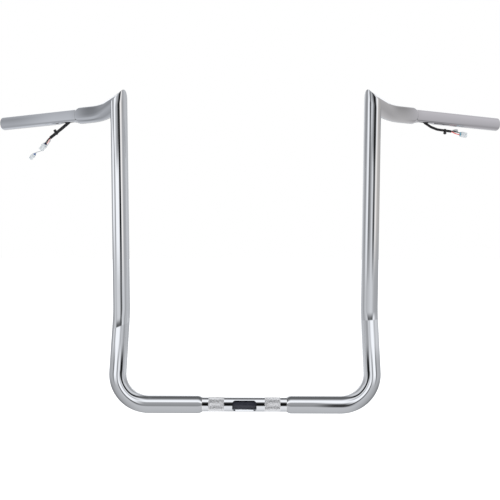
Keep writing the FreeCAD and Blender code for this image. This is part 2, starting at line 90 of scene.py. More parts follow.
RISER_DIR = unit(MITRE - KNEE_CORNER)
ELBOW_DIR = plan_dir(ELBOW_PLAN, ELBOW_DROP)
GRIP_DIR = plan_dir(GRIP_PLAN, GRIP_DROP)
MITRE_NORMAL = unit(RISER_DIR + ELBOW_DIR)
ELBOW_SETBACK = ELBOW_BEND_R * math.tan(math.acos(ELBOW_DIR @ GRIP_DIR) / 2)
ELBOW_CORNER = MITRE + ELBOW_DIR * (ELBOW_STRAIGHT + ELBOW_SETBACK)
SHOULDER_AT = ELBOW_CORNER + GRIP_DIR * (ELBOW_SETBACK + ELBOW_TAIL)
GRIP_AT = SHOULDER_AT + GRIP_DIR * SHOULDER_L
GRIP_DOWN = unit(-Z_AXIS - GRIP_DIR * -GRIP_DIR[2])


class Side:
    """One grip's frame: outwards along its axis, down below it, and back towards the rider."""

    def __init__(self, sign):
        mirror = np.array((sign, 1, 1), float)
        self.origin, self.axis, self.down = GRIP_AT * mirror, GRIP_DIR * mirror, GRIP_DOWN * mirror
        back = np.cross(self.axis, self.down)
        self.back = back if back[1] > 0 else -back

    def at(self, along, below=0.0, back=0.0):
        return self.origin + self.axis * along + self.down * below + self.back * back

    def dir(self, along, below):
        return unit(self.axis * along + self.down * below)


LEFT, RIGHT = Side(-1), Side(1)


# ---------------------------------------------------------------- geometry helpers
def circle(count):
    return np.arange(count) * 2 * math.pi / count


def quarter_turn(steps):
    return [math.radians(90 * k / steps) for k in range(1, steps + 1)]


def square_to(axis, ref):
    """Unit vector at right angles to axis, as near to ref as it can be."""
    return unit(ref - axis * (ref @ axis))


def clear_ref(axis):
    """A reference direction that isn't parallel to axis."""
    return Z_AXIS if abs(axis[2]) < 0.9 else X_AXIS


def smoothstep(t):
    return t * t * (3 - 2 * t)


def filleted(points, radii, arc_step, line_step=None):
    """Points and tangents along a polyline whose corners are rounded to radii."""
    points = [np.asarray(p, float) for p in points]
    centres, tangents = [], []

    def line(start, end):
        length = np.linalg.norm(end - start)
        steps = 1 if line_step is None else max(1, math.ceil(length / line_step))
        for i in range(steps + 1):
            point = start + (end - start) * i / steps
            if not centres or np.linalg.norm(centres[-1] - point) >= 1e-6:
                centres.append(point)
                tangents.append(unit(end - start))

    last = points[0]
    for before, corner, after, radius in zip(points, points[1:], points[2:], radii):
        arriving, leaving = unit(corner - before), unit(after - corner)
        turn = math.acos(arriving @ leaving)
        setback = radius * math.tan(turn / 2)
        arc_start = corner - arriving * setback
        line(last, arc_start)
        inward = square_to(arriving, leaving)
        centre = arc_start + inward * radius
        steps = max(3, math.ceil(math.degrees(turn) / arc_step))
        for k in range(1, steps + 1):
            cos, sin = math.cos(turn * k / steps), math.sin(turn * k / steps)
            centres.append(centre - inward * radius * cos + arriving * radius * sin)
            tangents.append(unit(arriving * cos + inward * sin))
        last = corner + leaving * setback
    line(last, points[-1])
    return np.array(centres), np.array(tangents)


def transport(tangents, ref):
    """Cross-section axes carried along a path without twist; ref is where angle 0 starts."""
    spoke = square_to(tangents[0], ref)
    spokes = [spoke]
    for before, after in zip(tangents, tangents[1:]):
        axis = np.cross(before, after)
        sine = np.linalg.norm(axis)
        if sine > 1e-9:
            axis = axis / sine
            angle = math.atan2(sine, before @ after)
            spoke = (spoke * math.cos(angle) + np.cross(axis, spoke) * math.sin(angle)
                     + axis * (axis @ spoke) * (1 - math.cos(angle)))
        spoke = square_to(after, spoke)
        spokes.append(spoke)
    spokes = np.array(spokes)
    return spokes, np.cross(tangents, spokes)


def rings(centres, tangents, ref, radii, count, cuts=None):
    """Ring vertices (rings, count, 3). radii is one per ring or one per vertex. cuts maps a ring
    to its distance short of the mitre plane, which it is slid along its tangent to meet."""
    first, second = transport(tangents, ref)
    angle = circle(count)[None, :, None]
    radii = np.asarray(radii, float)
    if radii.ndim == 1:
        radii = radii[:, None]
    spokes = np.cos(angle) * first[:, None, :] + np.sin(angle) * second[:, None, :]
    verts = centres[:, None, :] + radii[..., None] * spokes
    for i, back in (cuts or {}).items():
        slide = -((verts[i] - MITRE) @ MITRE_NORMAL) / (tangents[i] @ MITRE_NORMAL) - back
        verts[i] = verts[i] + slide[:, None] * tangents[i][None, :]
    return verts


def turned(origin, axis, along, radii, count):
    """Rings about an axis; along and radii are (rings, 1) or (rings, count)."""
    first = square_to(axis, clear_ref(axis))
    angle = circle(count)
    spokes = np.outer(np.cos(angle), first) + np.outer(np.sin(angle), np.cross(axis, first))
    return origin + axis * along[..., None] + spokes * radii[..., None]


def ring_faces(ring_count, count, closed):
    """Quads between consecutive rings; closed joins the last ring to the first."""
    i, j = np.meshgrid(np.arange(ring_count if closed else ring_count - 1), np.arange(count),
                       indexing="ij")
    here, there = i * count, (i + 1) % ring_count * count
    beside = (j + 1) % count
    return np.stack([here + j, here + beside, there + beside, there + j], -1).reshape(-1, 4)


# ---------------------------------------------------------------- mesh helpers
def add_object(name, data):
    ob = bpy.data.objects.new(name, data)
    bpy.context.scene.collection.objects.link(ob)
    return ob


def mesh_object(name, verts, faces):
    mesh = bpy.data.meshes.new(name)
    mesh.from_pydata(verts, [], faces)
    mesh.validate()
    return add_object(name, mesh)


def set_smooth(ob, angle):
    ob.data.shade_smooth()
    ob.data.set_sharp_from_angle(angle=math.radians(angle))
    ob.data.update()


def smooth_object(name, verts, faces, angle):
    """Smooth-shaded object from vertices in mm, sharp where faces meet beyond angle."""
    ob = mesh_object(name, (np.asarray(verts, float) * MM).tolist(), [tuple(f) for f in faces])
    set_smooth(ob, angle)
    return ob


def loop_solid(name, verts, angle, flip=False):
    """Closed hollow solid from rings that run along the outside and back along the inside."""
    faces = ring_faces(*verts.shape[:2], True)
    if flip:
        faces = faces[:, ::-1]
    return smooth_object(name, verts.reshape(-1, 3), faces.tolist(), angle)


def capped_solid(name, verts, angle):
    """Closed solid from rings, with a centre fan on each end."""
    ring_count, count = verts.shape[:2]
    faces = ring_faces(ring_count, count, False).tolist()
    start, last = ring_count * count, (ring_count - 1) * count
    faces += [(start, (j + 1) % count, j) for j in range(count)]
    faces += [(start + 1, last + j, last + (j + 1) % count) for j in range(count)]
    points = np.vstack([verts.reshape(-1, 3), verts[0].mean(0)[None], verts[-1].mean(0)[None]])
    ob = smooth_object(name, points, faces, angle)
    point_outward(ob)
    return ob


def point_outward(ob):
    """Makes the faces of a closed mesh point outwards."""
    bm = bmesh.new()
    bm.from_mesh(ob.data)
    bmesh.ops.recalc_face_normals(bm, faces=bm.faces)
    bm.to_mesh(ob.data)
    bm.free()
    ob.data.update()


def read_vectors(items, field):
    values = np.zeros(len(items) * 3)
    items.foreach_get(field, values)
    return values.reshape(-1, 3)


def mirrored_copy(ob, name):
    """Copy mirrored across x = 0."""
    mesh = ob.data.copy()
    mesh.name = name
    coords = read_vectors(mesh.vertices, "co")
    coords[:, 0] *= -1
    mesh.vertices.foreach_set("co", coords.ravel())
    mesh.flip_normals()
    mesh.update()
    return add_object(name, mesh)


def cut_with(ob, cutter, angle):
    """Subtracts cutter from ob for good and removes it."""
    bpy.context.view_layer.update()
    modifier = ob.modifiers.new("cut", "BOOLEAN")
    modifier.operation, modifier.solver, modifier.object = "DIFFERENCE", "EXACT", cutter
    depsgraph = bpy.context.evaluated_depsgraph_get()
    mesh = bpy.data.meshes.new_from_object(ob.evaluated_get(depsgraph), depsgraph=depsgraph)
    old = ob.data
    ob.modifiers.clear()
    ob.data = mesh
    mesh.name = ob.name
    bpy.data.meshes.remove(old)
    bpy.data.objects.remove(cutter)
    set_smooth(ob, angle)


def join(name, *parts):
    """One object from several; keeps the sharp edges."""
    bm = bmesh.new()
    for part in parts:
        bm.from_mesh(part.data)
    mesh = bpy.data.meshes.new(name)
    bm.to_mesh(mesh)
    bm.free()
    for part in parts:
        bpy.data.objects.remove(part)
    return add_object(name, mesh)


def true_tube_normals(ob, centres, tangents, radii, sign=1):
    """Sets exact corner normals wherever a vertex lies on a tube wall of one of these radii.
    The path is the right-hand one; sign -1 is for its mirrored copy."""
    mesh = ob.data
    mirror = np.array((sign, 1, 1))
    normals = read_vectors(mesh.corner_normals, "vector")
    corner_vertex = np.zeros(len(mesh.loops), np.int64)
    mesh.loops.foreach_get("vertex_index", corner_vertex)
    coords = read_vectors(mesh.vertices, "co") / MM * mirror
    # offset of each vertex from the nearest point on the centreline
    nearest = np.full(len(coords), 1e9)
    radial = np.zeros_like(coords)
    for i in range(len(centres) - 1):
        start, span = centres[i], centres[i + 1] - centres[i]
        t = np.clip(((coords - start) @ span) / (span @ span), 0, 1)[:, None]
        offset = coords - (start + t * span)
        distance = np.linalg.norm(offset, axis=1)
        tangent = tangents[i] * (1 - t) + tangents[i + 1] * t
        offset = offset - (tangent * np.sum(offset * tangent, 1, keepdims=True)
                           / np.sum(tangent * tangent, 1, keepdims=True))
        closer = distance < nearest
        nearest[closer] = distance[closer]
        radial[closer] = offset[closer]
    length = np.linalg.norm(radial, axis=1)
    directions = radial / np.maximum(length, 1e-9)[:, None] * mirror
    on_wall = np.zeros(len(coords), bool)
    for radius in radii:
        on_wall |= np.abs(length - radius) < 0.012
    exact = directions[corner_vertex]
    facing = np.sum(normals * exact, 1)
    use = on_wall[corner_vertex] & (np.abs(facing) > 0.9)
    normals[use] = exact[use] * np.sign(facing[use])[:, None]
    mesh.normals_split_custom_set([tuple(n) for n in normals])
    mesh.update()


def rounded_section(half_x, half_y, corner, steps):
    """Outline of a rectangle with rounded corners."""
    in_x, in_y = half_x - corner, half_y - corner
    points = []
    for x, y, start in ((in_x, in_y, 0), (-in_x, in_y, 90), (-in_x, -in_y, 180),
                        (in_x, -in_y, 270)):
        for i in range(steps + 1):
            angle = math.radians(start + 90 * i / steps)
            points.append((x + corner * math.cos(angle), y + corner * math.sin(angle)))
    return points


def rounded_cutter(name, origin, x_dir, z_dir, half_x, half_y, corner, reach=20.0, steps=10):
    """Prism with rounded corners, for cutting, reaching from origin along z_dir."""
    y_dir = np.cross(z_dir, x_dir)
    outline = [origin + x_dir * x + y_dir * y
               for x, y in rounded_section(half_x, half_y, corner, steps)]
    count = len(outline)
    faces = [tuple(reversed(range(count))), tuple(range(count, 2 * count))]
    faces += [(i, (i + 1) % count, count + (i + 1) % count, count + i) for i in range(count)]
    return smooth_object(name, outline + [p + z_dir * reach for p in outline], faces, 30)


def loft(name, origin, axes, stations, angle, steps=5):
    """Solid from rounded rectangles: (z, half x, half y, corner[, x shift, y shift])."""
    x_dir, y_dir, z_dir = axes
    verts = []
    for z, half_x, half_y, corner, *shift in stations:
        shift_x, shift_y = shift or (0, 0)
        corner = min(corner, half_x * 0.98, half_y * 0.98)
        verts.append([origin + x_dir * (x + shift_x) + y_dir * (y + shift_y) + z_dir * z
                      for x, y in rounded_section(half_x, half_y, corner, steps)])
    return capped_solid(name, np.array(verts), angle)


def lathe(name, origin, axis, profile, count, angle=35):
    """Capped turned solid from (along, radius) points."""
    profile = np.array(profile)
    return capped_solid(name, turned(origin, axis, profile[:, :1], profile[:, 1:], count), angle)


# ---------------------------------------------------------------- materials
class Nodes:
    """Builds shader nodes; an input is given as a value or as a socket to link."""

    def __init__(self, tree):
        self.tree = tree

    def feed(self, target, value):
        if isinstance(value, bpy.types.NodeSocket):
            self.tree.links.new(value, target)
        else:
            target.default_value = value

    def node(self, kind, inputs=None, **settings):
        node = self.tree.nodes.new(kind)
        for key, value in settings.items():
            setattr(node, key, value)
        for key, value in (inputs or {}).items():
            self.feed(node.inputs[key], value)
        return node

    def calc(self, operation, *values):
        node = self.node("ShaderNodeMath", dict(enumerate(values)), operation=operation)
        return node.outputs[0]

    def span(self, value, start, end, low=0.0, high=1.0, **settings):
        """Maps start..end to low..high."""
        inputs = {0: value, 1: start, 2: end, 3: low, 4: high}
        return self.node("ShaderNodeMapRange", inputs, **settings).outputs[0]

    def ramp(self, factor, stops):
        """Colour ramp from (position, rgb) stops."""
        node = self.node("ShaderNodeValToRGB", {0: factor})
        elements = node.color_ramp.elements
        while len(elements) > 1:
            elements.remove(elements[-1])
        for i, (position, colour) in enumerate(stops):
            stop = elements.new(position) if i else elements[0]
            stop.position = position
            stop.color = (*colour, 1)
        return node.outputs[0]


class Material(Nodes):
    """Principled material whose textures follow object coordinates."""

    def __init__(self, name):
        self.material = bpy.data.materials.new(name)
        self.material.use_nodes = True
        super().__init__(self.material.node_tree)
        self.tree.nodes.clear()
        output = self.node("ShaderNodeOutputMaterial")
        self.shader = self.node("ShaderNodeBsdfPrincipled")
        self.feed(output.inputs[0], self.shader.outputs[0])
        self.coords = self.node("ShaderNodeTexCoord").outputs["Object"]

    def set(self, name, value):
        self.feed(self.shader.inputs[name], value)

    def noise(self, scale, detail, rough):
        inputs = {"Scale": scale, "Detail": detail, "Roughness": rough, "Vector": self.coords}
        return self.node("ShaderNodeTexNoise", inputs).outputs["Fac"]

    def bump(self, distance, **noise):
        inputs = {"Distance": distance, "Height": self.noise(**noise)}
        self.set("Normal", self.node("ShaderNodeBump", inputs).outputs[0])


CHROME_TINT = (0.80, 0.815, 0.835)
MATERIALS = {}


def chrome(name, rough, tint=CHROME_TINT, wave=0.0):
    """Chrome with smudged roughness; wave is the height of its slow ripple in metres."""
    mat = Material(name)
    smudge = mat.noise(scale=9.0, detail=5.0, rough=0.6)
    fine = mat.noise(scale=160.0, detail=3.0, rough=0.5)
    smear = mat.calc("MULTIPLY_ADD", fine, 0.12, smudge)
    mat.set("Roughness", mat.span(smear, 0.38, 0.74, *rough))
    darker = tuple(c * 0.965 for c in tint)
    patches = mat.noise(scale=5.0, detail=3.0, rough=0.5)
    mat.set("Base Color", mat.ramp(patches, [(0.35, darker), (0.65, tint)]))
    mat.set("Metallic", 1.0)
    if wave:
        mat.bump(wave, scale=14.0, detail=1.0, rough=0.3)
    MATERIALS[name] = mat.material


def grained(name, grain, low, high, rough, high_at=0.7):
    """Material whose colour and roughness follow one noise."""
    mat = Material(name)
    pattern = mat.noise(**grain)
    mat.set("Base Color", mat.ramp(pattern, [(0.3, low), (high_at, high)]))
    mat.set("Roughness", mat.span(pattern, 0.3, 0.7, *rough))
    MATERIALS[name] = mat.material
    return mat


def black_cloth(name, low, high, scale, rough):
    mat = grained(name, dict(scale=scale, detail=4.0, rough=0.6), low, high,
                  (rough - 0.12, rough + 0.14), high_at=0.75)
    mat.set("Specular IOR Level", 0.4)
    mat.set("Sheen Weight", 0.15)
    mat.set("Sheen Roughness", 0.4)
    mat.bump(0.00004, scale=scale * 2.5, detail=3.0, rough=0.5)


def insulation(name, colour, rough=0.42):
    mat = grained(name, dict(scale=260.0, detail=3.0, rough=0.5),
                  tuple(c * 0.78 for c in colour), colour, (rough - 0.06, rough + 0.1))
    mat.bump(0.00002, scale=1500.0, detail=2.0, rough=0.5)


def nylon(name, colour, rough=0.36, translucent=0.0):
    mat = grained(name, dict(scale=420.0, detail=4.0, rough=0.55),
                  tuple(c * 0.9 for c in colour), colour, (rough - 0.05, rough + 0.09))
    mat.bump(0.00003, scale=2600.0, detail=2.0, rough=0.5)
    if translucent:
        mat.set("Subsurface Weight", translucent)
        mat.set("Subsurface Radius", (0.0035, 0.0035, 0.0035))
        mat.set("Subsurface Scale", 0.6)


chrome("chrome_tube", rough=(0.028, 0.052), wave=0.00004)
chrome("chrome_grip", rough=(0.045, 0.08), wave=0.00003)
chrome("chrome_knurl", rough=(0.30, 0.42), tint=(0.96, 0.96, 0.965))
chrome("chrome_weld", rough=(0.10, 0.20), tint=(0.84, 0.845, 0.85), wave=0.00008)
black_cloth("braided_nylon", low=(0.004, 0.004, 0.005), high=(0.012, 0.012, 0.014),
            scale=1800.0, rough=0.5)
black_cloth("harness_tape", low=(0.010, 0.011, 0.018), high=(0.026, 0.028, 0.040),
            scale=900.0, rough=0.42)
insulation("wire_black", (0.016, 0.016, 0.017))
insulation("wire_red", (0.62, 0.03, 0.02))
insulation("wire_green", (0.02, 0.16, 0.07))
insulation("wire_white", (0.42, 0.43, 0.45))
insulation("wire_red_brown", (0.34, 0.09, 0.06))
insulation("silicone_seal", (0.035, 0.12, 0.34), rough=0.5)
insulation("silicone_seal_teal", (0.05, 0.34, 0.46), rough=0.5)
insulation("silicone_seal_dark", (0.015, 0.03, 0.09), rough=0.5)
nylon("connector_nylon", (0.50, 0.525, 0.54), translucent=0.25)
nylon("connector_nylon_grey", (0.42, 0.44, 0.45), translucent=0.2)
nylon("tie_nylon", (0.018, 0.018, 0.019), rough=0.34)
nylon("sensor_plastic", (0.44, 0.45, 0.46), rough=0.4)
nylon("plug_plastic", (0.30, 0.335, 0.385), rough=0.42)
grained("pin_metal", dict(scale=500.0, detail=3.0, rough=0.5), low=(0.62, 0.52, 0.30),
        high=(0.78, 0.68, 0.42), rough=(0.18, 0.34)).set("Metallic", 1.0)

# material of each CAD material slot
SLOT_MATERIALS = {
    "chrome_tube": "chrome_tube", "weld_metal": "chrome_weld", "loom_black": "harness_tape",
    "braided_sleeve": "braided_nylon", "tie_nylon": "tie_nylon", "wire_black": "wire_black",
    "wire_red": "wire_red", "wire_green": "wire_green", "wire_white": "wire_white",
    "connector_white": "connector_nylon", "seal_blue": "silicone_seal",
    "terminal_brass": "pin_metal", "sensor_plastic": "sensor_plastic",
    "plug_plastic": "plug_plastic",
}
SLOT_OF = {part["node"]: part["material_slot"] for part in frame["record"]["subparts"]}


def dress(ob, material):
    ob.data.materials.clear()
    ob.data.materials.append(MATERIALS[material])


def stand_for(ob, node):
    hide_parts(node)


def place(ob, material, body, node):
    """Dresses a part that rides on one body and stands for a CAD node."""
    dress(ob, material)
    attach(ob, body)
    stand_for(ob, node)


def place_between(ob, material, start, end, node):
    """Dresses a part, fixes it where it stands and hides the CAD node it stands for; start and end,
    in mm, are not used.
    """
    dress(ob, material)
    start, end = (tuple(float(c) * MM for c in point) for point in (start, end))
    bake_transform(ob)
    stand_for(ob, node)


# every CAD node gets a material, whether or not something stands for it
for node_name, node_object in frame["nodes"].items():
    dress(node_object, SLOT_MATERIALS[SLOT_OF[node_name]])
    node_object.data.shade_smooth()
    node_object.data.set_sharp_from_angle(angle=math.radians(30))

# ---------------------------------------------------------------- clamp tube
KNURL_COUNT = 50        # ridges round the tube, each way
KNURL_STEP = 0.2        # ring spacing within a band
KNURL_GROOVE = 0.16     # groove depth below the tube's surface
KNURL_FADE = 0.7        # length over which each end of a band fades out
CLAMP_SIDES = 400
CLAMP_CHAMFER = 0.8


def clamp_stations():
    """Ring positions along the outside, close together in the two knurled bands."""
    steps = int(round((KNURL_OUT - KNURL_IN) / KNURL_STEP))
    band = [KNURL_IN + (KNURL_OUT - KNURL_IN) * i / steps for i in range(steps + 1)]
    ends = [KNURL_OUT + 0.9, 90.0, CLAMP_HALF - CLAMP_CHAMFER, CLAMP_HALF]
    right = [KNURL_IN - 0.9] + band + ends
    return np.array([-x for x in reversed(right)] + list(np.arange(-30.0, 30.01, 1.5)) + right)


def knurled_radii(stations):
    """Radii (rings, sides) with a diamond knurl in the bands."""
    pitch = 2 * math.pi * BAR_R / KNURL_COUNT
    around = (KNURL_COUNT * circle(CLAMP_SIDES) / (2 * math.pi))[None, :]
    along = stations[:, None]

    def ridge(t):
        return 1 - np.abs(2 * (t % 1.0) - 1)

    height = np.minimum(ridge(around + along / pitch), ridge(around - along / pitch))
    height = np.minimum(height / 0.82, 1.0)
    relief = (KNURL_R - BAR_R + KNURL_GROOVE) * height - KNURL_GROOVE
    edge = np.minimum(np.abs(along) - KNURL_IN, KNURL_OUT - np.abs(along))
    return BAR_R + relief * np.clip(edge / KNURL_FADE, 0, 1)


def slot_cutter():
    """Cutter for the front slot, less the sloping lip left along its lower edge."""
    tilt = math.radians(SLOT_TILT)
    outward = np.array((0, -math.cos(tilt), -math.sin(tilt)))
    cutter = rounded_cutter("slot_cutter", np.zeros(3), X_AXIS, outward,
                            SLOT_HALF_X, SLOT_HALF_H, SLOT_CORNER)
    foot = tilt + math.asin(SLOT_HALF_H / BAR_R)
    edge = np.array((0, -math.cos(foot), -math.sin(foot))) * BAR_R
    turn = math.radians(LIP_TURN)
    slope = np.array((0, math.cos(turn), math.sin(turn)))
    down = np.array((0, math.sin(turn), -math.cos(turn)))
    lip = rounded_cutter("lip_cutter", edge + slope * 4.0, X_AXIS, down,
                         LIP_HALF_X, half_y=5.5, corner=0.8, reach=9.0, steps=4)
    cut_with(cutter, lip, 32)
    return cutter


def build_clamp():
    outer = clamp_stations()
    radii = knurled_radii(outer)
    radii[0] = radii[-1] = BAR_R - CLAMP_CHAMFER
    inner = np.array([CLAMP_HALF, 60.0, 24.0, 12.0, 0.0, -12.0, -24.0, -60.0, -CLAMP_HALF])
    radii = np.vstack([radii, np.full((len(inner), CLAMP_SIDES), BAR_BORE_R)])
    along = np.concatenate([outer, inner])
    verts = rings(np.outer(along, X_AXIS), np.tile(X_AXIS, (len(along), 1)), Z_AXIS, radii,
                  CLAMP_SIDES)
    ob = loop_solid("clamp_tube_shell", verts, 35, flip=True)
    cut_with(ob, slot_cutter(), 32)
    ends = np.array([-CLAMP_HALF * X_AXIS, CLAMP_HALF * X_AXIS])
    true_tube_normals(ob, ends, np.array([X_AXIS, X_AXIS]), (BAR_R, BAR_BORE_R))
    place(ob, "chrome_tube", "root", "clamp_tube")
    # the bands' outer faces take the second material
    ob.data.materials.append(MATERIALS["chrome_knurl"])
    centres = read_vectors(ob.data.polygons, "center") / MM
    across = np.abs(centres[:, 0])
    indices = np.zeros(len(centres), np.int32)
    indices[(across > KNURL_IN - 0.2) & (across < KNURL_OUT + 0.2)
            & (np.hypot(centres[:, 1], centres[:, 2]) > 11)] = 1
    ob.data.polygons.foreach_set("material_index", indices)


build_clamp()

# ---------------------------------------------------------------- risers and elbows
TUBE_SIDES = 144
RISER_SEAM = [24.0, 5.0, 3.4, 2.1, 1.2, 0.6, 0.25, 0.0]  # last rings' distances from the mitre
ELBOW_SEAM = RISER_SEAM[:0:-1] + [7.0]                   # first rings', all short of the bend
DRAIN_RINGS = (40.0, 66.0, 70.0, 74.0, 78.0, 82.0, 86.0)  # past the shoulder
TIP_TOP, TIP_DEPTH = 21.4, 20.0   # mitre's pointed top above its centre; depth it is drawn in
TIP_PINCH = 0.38


def shoulder_profile(steps=8):
    """(along, radius) of the tube's rounded end, from its full radius to its end."""
    drop = TUBE_R - SHOULDER_R
    arc_r = (SHOULDER_L ** 2 + drop ** 2) / (2 * drop)
    turn = math.asin(SHOULDER_L / arc_r)
    return np.array([(arc_r * math.sin(turn * i / steps),
                      TUBE_R - arc_r + arc_r * math.cos(turn * i / steps))
                     for i in range(1, steps + 1)])


def seam_radii(distances, first, second, tip):
    """Radii that round the mitre's edge: most on its pointed side, least in the crotch."""
    angle = circle(TUBE_SIDES)
    pointed = np.clip(np.cos(angle) * (first @ tip) + np.sin(angle) * (second @ tip), 0, 1)
    depth = 0.2 + 0.12 * pointed ** 1.4
    nearness = np.clip(1 - np.array(distances)[:, None] / (0.6 + 0.6 * pointed), 0, 1)
    return TUBE_R - depth * (1 - np.sqrt(1 - nearness * nearness))


def mitred_tube(name, outer, radii, cuts, inner, inner_cut, ref):
    """Hollow tube from outer and inner (centres, tangents), both cut at the mitre."""
    outside = rings(*outer, ref, radii, TUBE_SIDES, cuts)
    bore = np.full(len(inner[0]), TUBE_BORE_R)
    inside = rings(*inner, ref, bore, TUBE_SIDES, {inner_cut: 0.0})
    return loop_solid(name, np.concatenate([outside, inside[::-1]], 0), 40, flip=True)


def sharpen_tip(ob, sign):
    """Draws the pointed top of the mitre together towards its highest point."""
    mesh = ob.data
    coords = read_vectors(mesh.vertices, "co")
    points = coords / MM * np.array((sign, 1, 1))
    start = MITRE[2] + TIP_TOP - TIP_DEPTH
    pull = TIP_PINCH * smoothstep(np.clip((points[:, 2] - start) / 19.0, 0, 1))
    offset = points[:, 0] - (MITRE[0] - 0.84 * TUBE_R)
    coords[:, 0] -= np.where(offset < 2.8 * TUBE_R, pull * offset, 0) * MM * sign
    mesh.vertices.foreach_set("co", coords.ravel())
    mesh.update()


def place_pair(right, path, part, material):
    """Mirrors a right-hand tube, then finishes and places both."""
    left = mirrored_copy(right, "left_%s_shell" % part)
    for ob, sign, hand in ((right, 1, "right"), (left, -1, "left")):
        true_tube_normals(ob, *path, (TUBE_R, TUBE_BORE_R), sign)
        sharpen_tip(ob, sign)
        place(ob, material, "root", "%s_%s_tube" % (hand, part))


def build_risers():
    start = (STEP_X + SHOULDER_L) * X_AXIS
    centres, tangents = filleted([start, LOW_CORNER, KNEE_CORNER, MITRE],
                                 [LOW_BEND_R, KNEE_BEND_R], arc_step=1.5)
    drain_rings = [start + x * X_AXIS for x in DRAIN_RINGS]
    centres = np.vstack([centres[:1], drain_rings, centres[1:]])
    tangents = np.vstack([tangents[:1], np.tile(X_AXIS, (len(DRAIN_RINGS), 1)), tangents[1:]])
    shoulder = shoulder_profile()[::-1]
    seam = len(RISER_SEAM)
    outer = (np.vstack([start - np.outer(shoulder[:, 0], X_AXIS), centres[:-1],
                        np.repeat(centres[-1:], seam, 0)]),
             np.vstack([np.tile(X_AXIS, (len(shoulder), 1)), tangents[:-1],
                        np.repeat(tangents[-1:], seam, 0)]))
    seam_start = len(outer[0]) - seam
    first, second = transport(outer[1], FRONT)
    tip = unit(-(ELBOW_DIR - RISER_DIR * (ELBOW_DIR @ RISER_DIR)))
    radii = np.full((len(outer[0]), TUBE_SIDES), TUBE_R)
    radii[:len(shoulder)] = shoulder[:, 1:]
    radii[seam_start:] = seam_radii(RISER_SEAM, first[-1], second[-1], tip)
    cuts = {seam_start + i: back for i, back in enumerate(RISER_SEAM)}
    inner = (np.vstack([[start - SHOULDER_L * X_AXIS], centres]),
             np.vstack([[X_AXIS], tangents]))
    ob = mitred_tube("right_riser_shell", outer, radii, cuts, inner, -1, FRONT)
    drain = rounded_cutter("drain_cutter", DRAIN_X * X_AXIS, X_AXIS, -Z_AXIS,
                           DRAIN_HALF_L, DRAIN_HALF_W, DRAIN_HALF_W - 0.01)
    cut_with(ob, drain, 40)
    place_pair(ob, (centres, tangents), "riser", "chrome_tube")


def build_elbows():
    centres, tangents = filleted([MITRE, ELBOW_CORNER, SHOULDER_AT], [ELBOW_BEND_R],
                                 arc_step=1.0)
    seam = len(ELBOW_SEAM)
    shoulder = shoulder_profile()
    outer = (np.vstack([np.repeat(centres[:1], seam, 0), centres[1:],
                        SHOULDER_AT + np.outer(shoulder[:, 0], GRIP_DIR)]),
             np.vstack([np.repeat(tangents[:1], seam, 0), tangents[1:],
                        np.tile(GRIP_DIR, (len(shoulder), 1))]))
    first, second = transport(outer[1], Z_AXIS)
    tip = square_to(ELBOW_DIR, RISER_DIR)
    radii = np.full((len(outer[0]), TUBE_SIDES), TUBE_R)
    radii[:seam] = seam_radii(ELBOW_SEAM, first[0], second[0], tip)
    radii[-len(shoulder):] = shoulder[:, 1:]
    cuts = {i: -back for i, back in enumerate(ELBOW_SEAM)}
    inner = np.vstack([centres, [GRIP_AT]]), np.vstack([tangents, [GRIP_DIR]])
    ob = mitred_tube("right_elbow_shell", outer, radii, cuts, inner, 0, Z_AXIS)
    point_outward(ob)
    place_pair(ob, (centres, tangents), "elbow", "chrome_grip")


build_risers()
build_elbows()

# ---------------------------------------------------------------- grips
GRIP_EDGE_R = 1.6


def smooth_min(first, second, width):
    share = np.clip(0.5 + 0.5 * (second - first) / width, 0, 1)
    return second + (first - second) * share - width * share * (1 - share)


def press_dimple(verts):
    """Presses a flat into the underside, eased in and out along the grip."""
    offset = verts - RIGHT.origin
    below = offset @ RIGHT.down
    along = offset @ RIGHT.axis
    ease_in = smoothstep(np.clip((along - DIMPLE_START) / DIMPLE_RUN, 0, 1))
    ease_out = smoothstep(np.clip((DIMPLE_END - along) / DIMPLE_RUN, 0, 1))
    limit = BAR_R + 1.2 - (DIMPLE_DEPTH + 1.2) * ease_in * ease_out
    near = (along > DIMPLE_START - 0.5) & (along < DIMPLE_END + 0.5) & (below > 5)
    pressed = np.where(near, smooth_min(below, limit, 0.9), below)
    return verts + (pressed - below)[..., None] * RIGHT.down


def build_grip(name, length):
    """Right-hand grip tube with its dimple and wire exit."""
    edge = GRIP_EDGE_R
    outer = [(s, BAR_R) for s in [-GRIP_IN, -6.0, 0.0, *np.arange(1.0, 50.01, 0.75),
                                  60.0, 100.0, 150.0, length - 8.0, length - edge]]
    outer += [(length - edge + edge * math.sin(turn), BAR_R - edge + edge * math.cos(turn))
              for turn in quarter_turn(8)]
    inner = [(length, BAR_BORE_R + 0.4)]
    inner += [(s, BAR_BORE_R) for s in (length - 0.4, 40.0, 32.0, 24.0, 16.0, 8.0, -GRIP_IN)]
    profile = np.array(outer + inner)
    verts = rings(np.array([RIGHT.at(s) for s in profile[:, 0]]),
                  np.tile(RIGHT.axis, (len(profile), 1)), RIGHT.down, profile[:, 1], 192)
    verts[:len(outer)] = press_dimple(verts[:len(outer)])
    ob = loop_solid(name, verts, 40, flip=True)
    cutter = rounded_cutter("exit_cutter", RIGHT.at(EXIT_AT), RIGHT.axis, RIGHT.down,
                            EXIT_HALF_L, EXIT_HALF_W, EXIT_HALF_W - 0.01, steps=14)
    cut_with(ob, cutter, 40)
    return ob


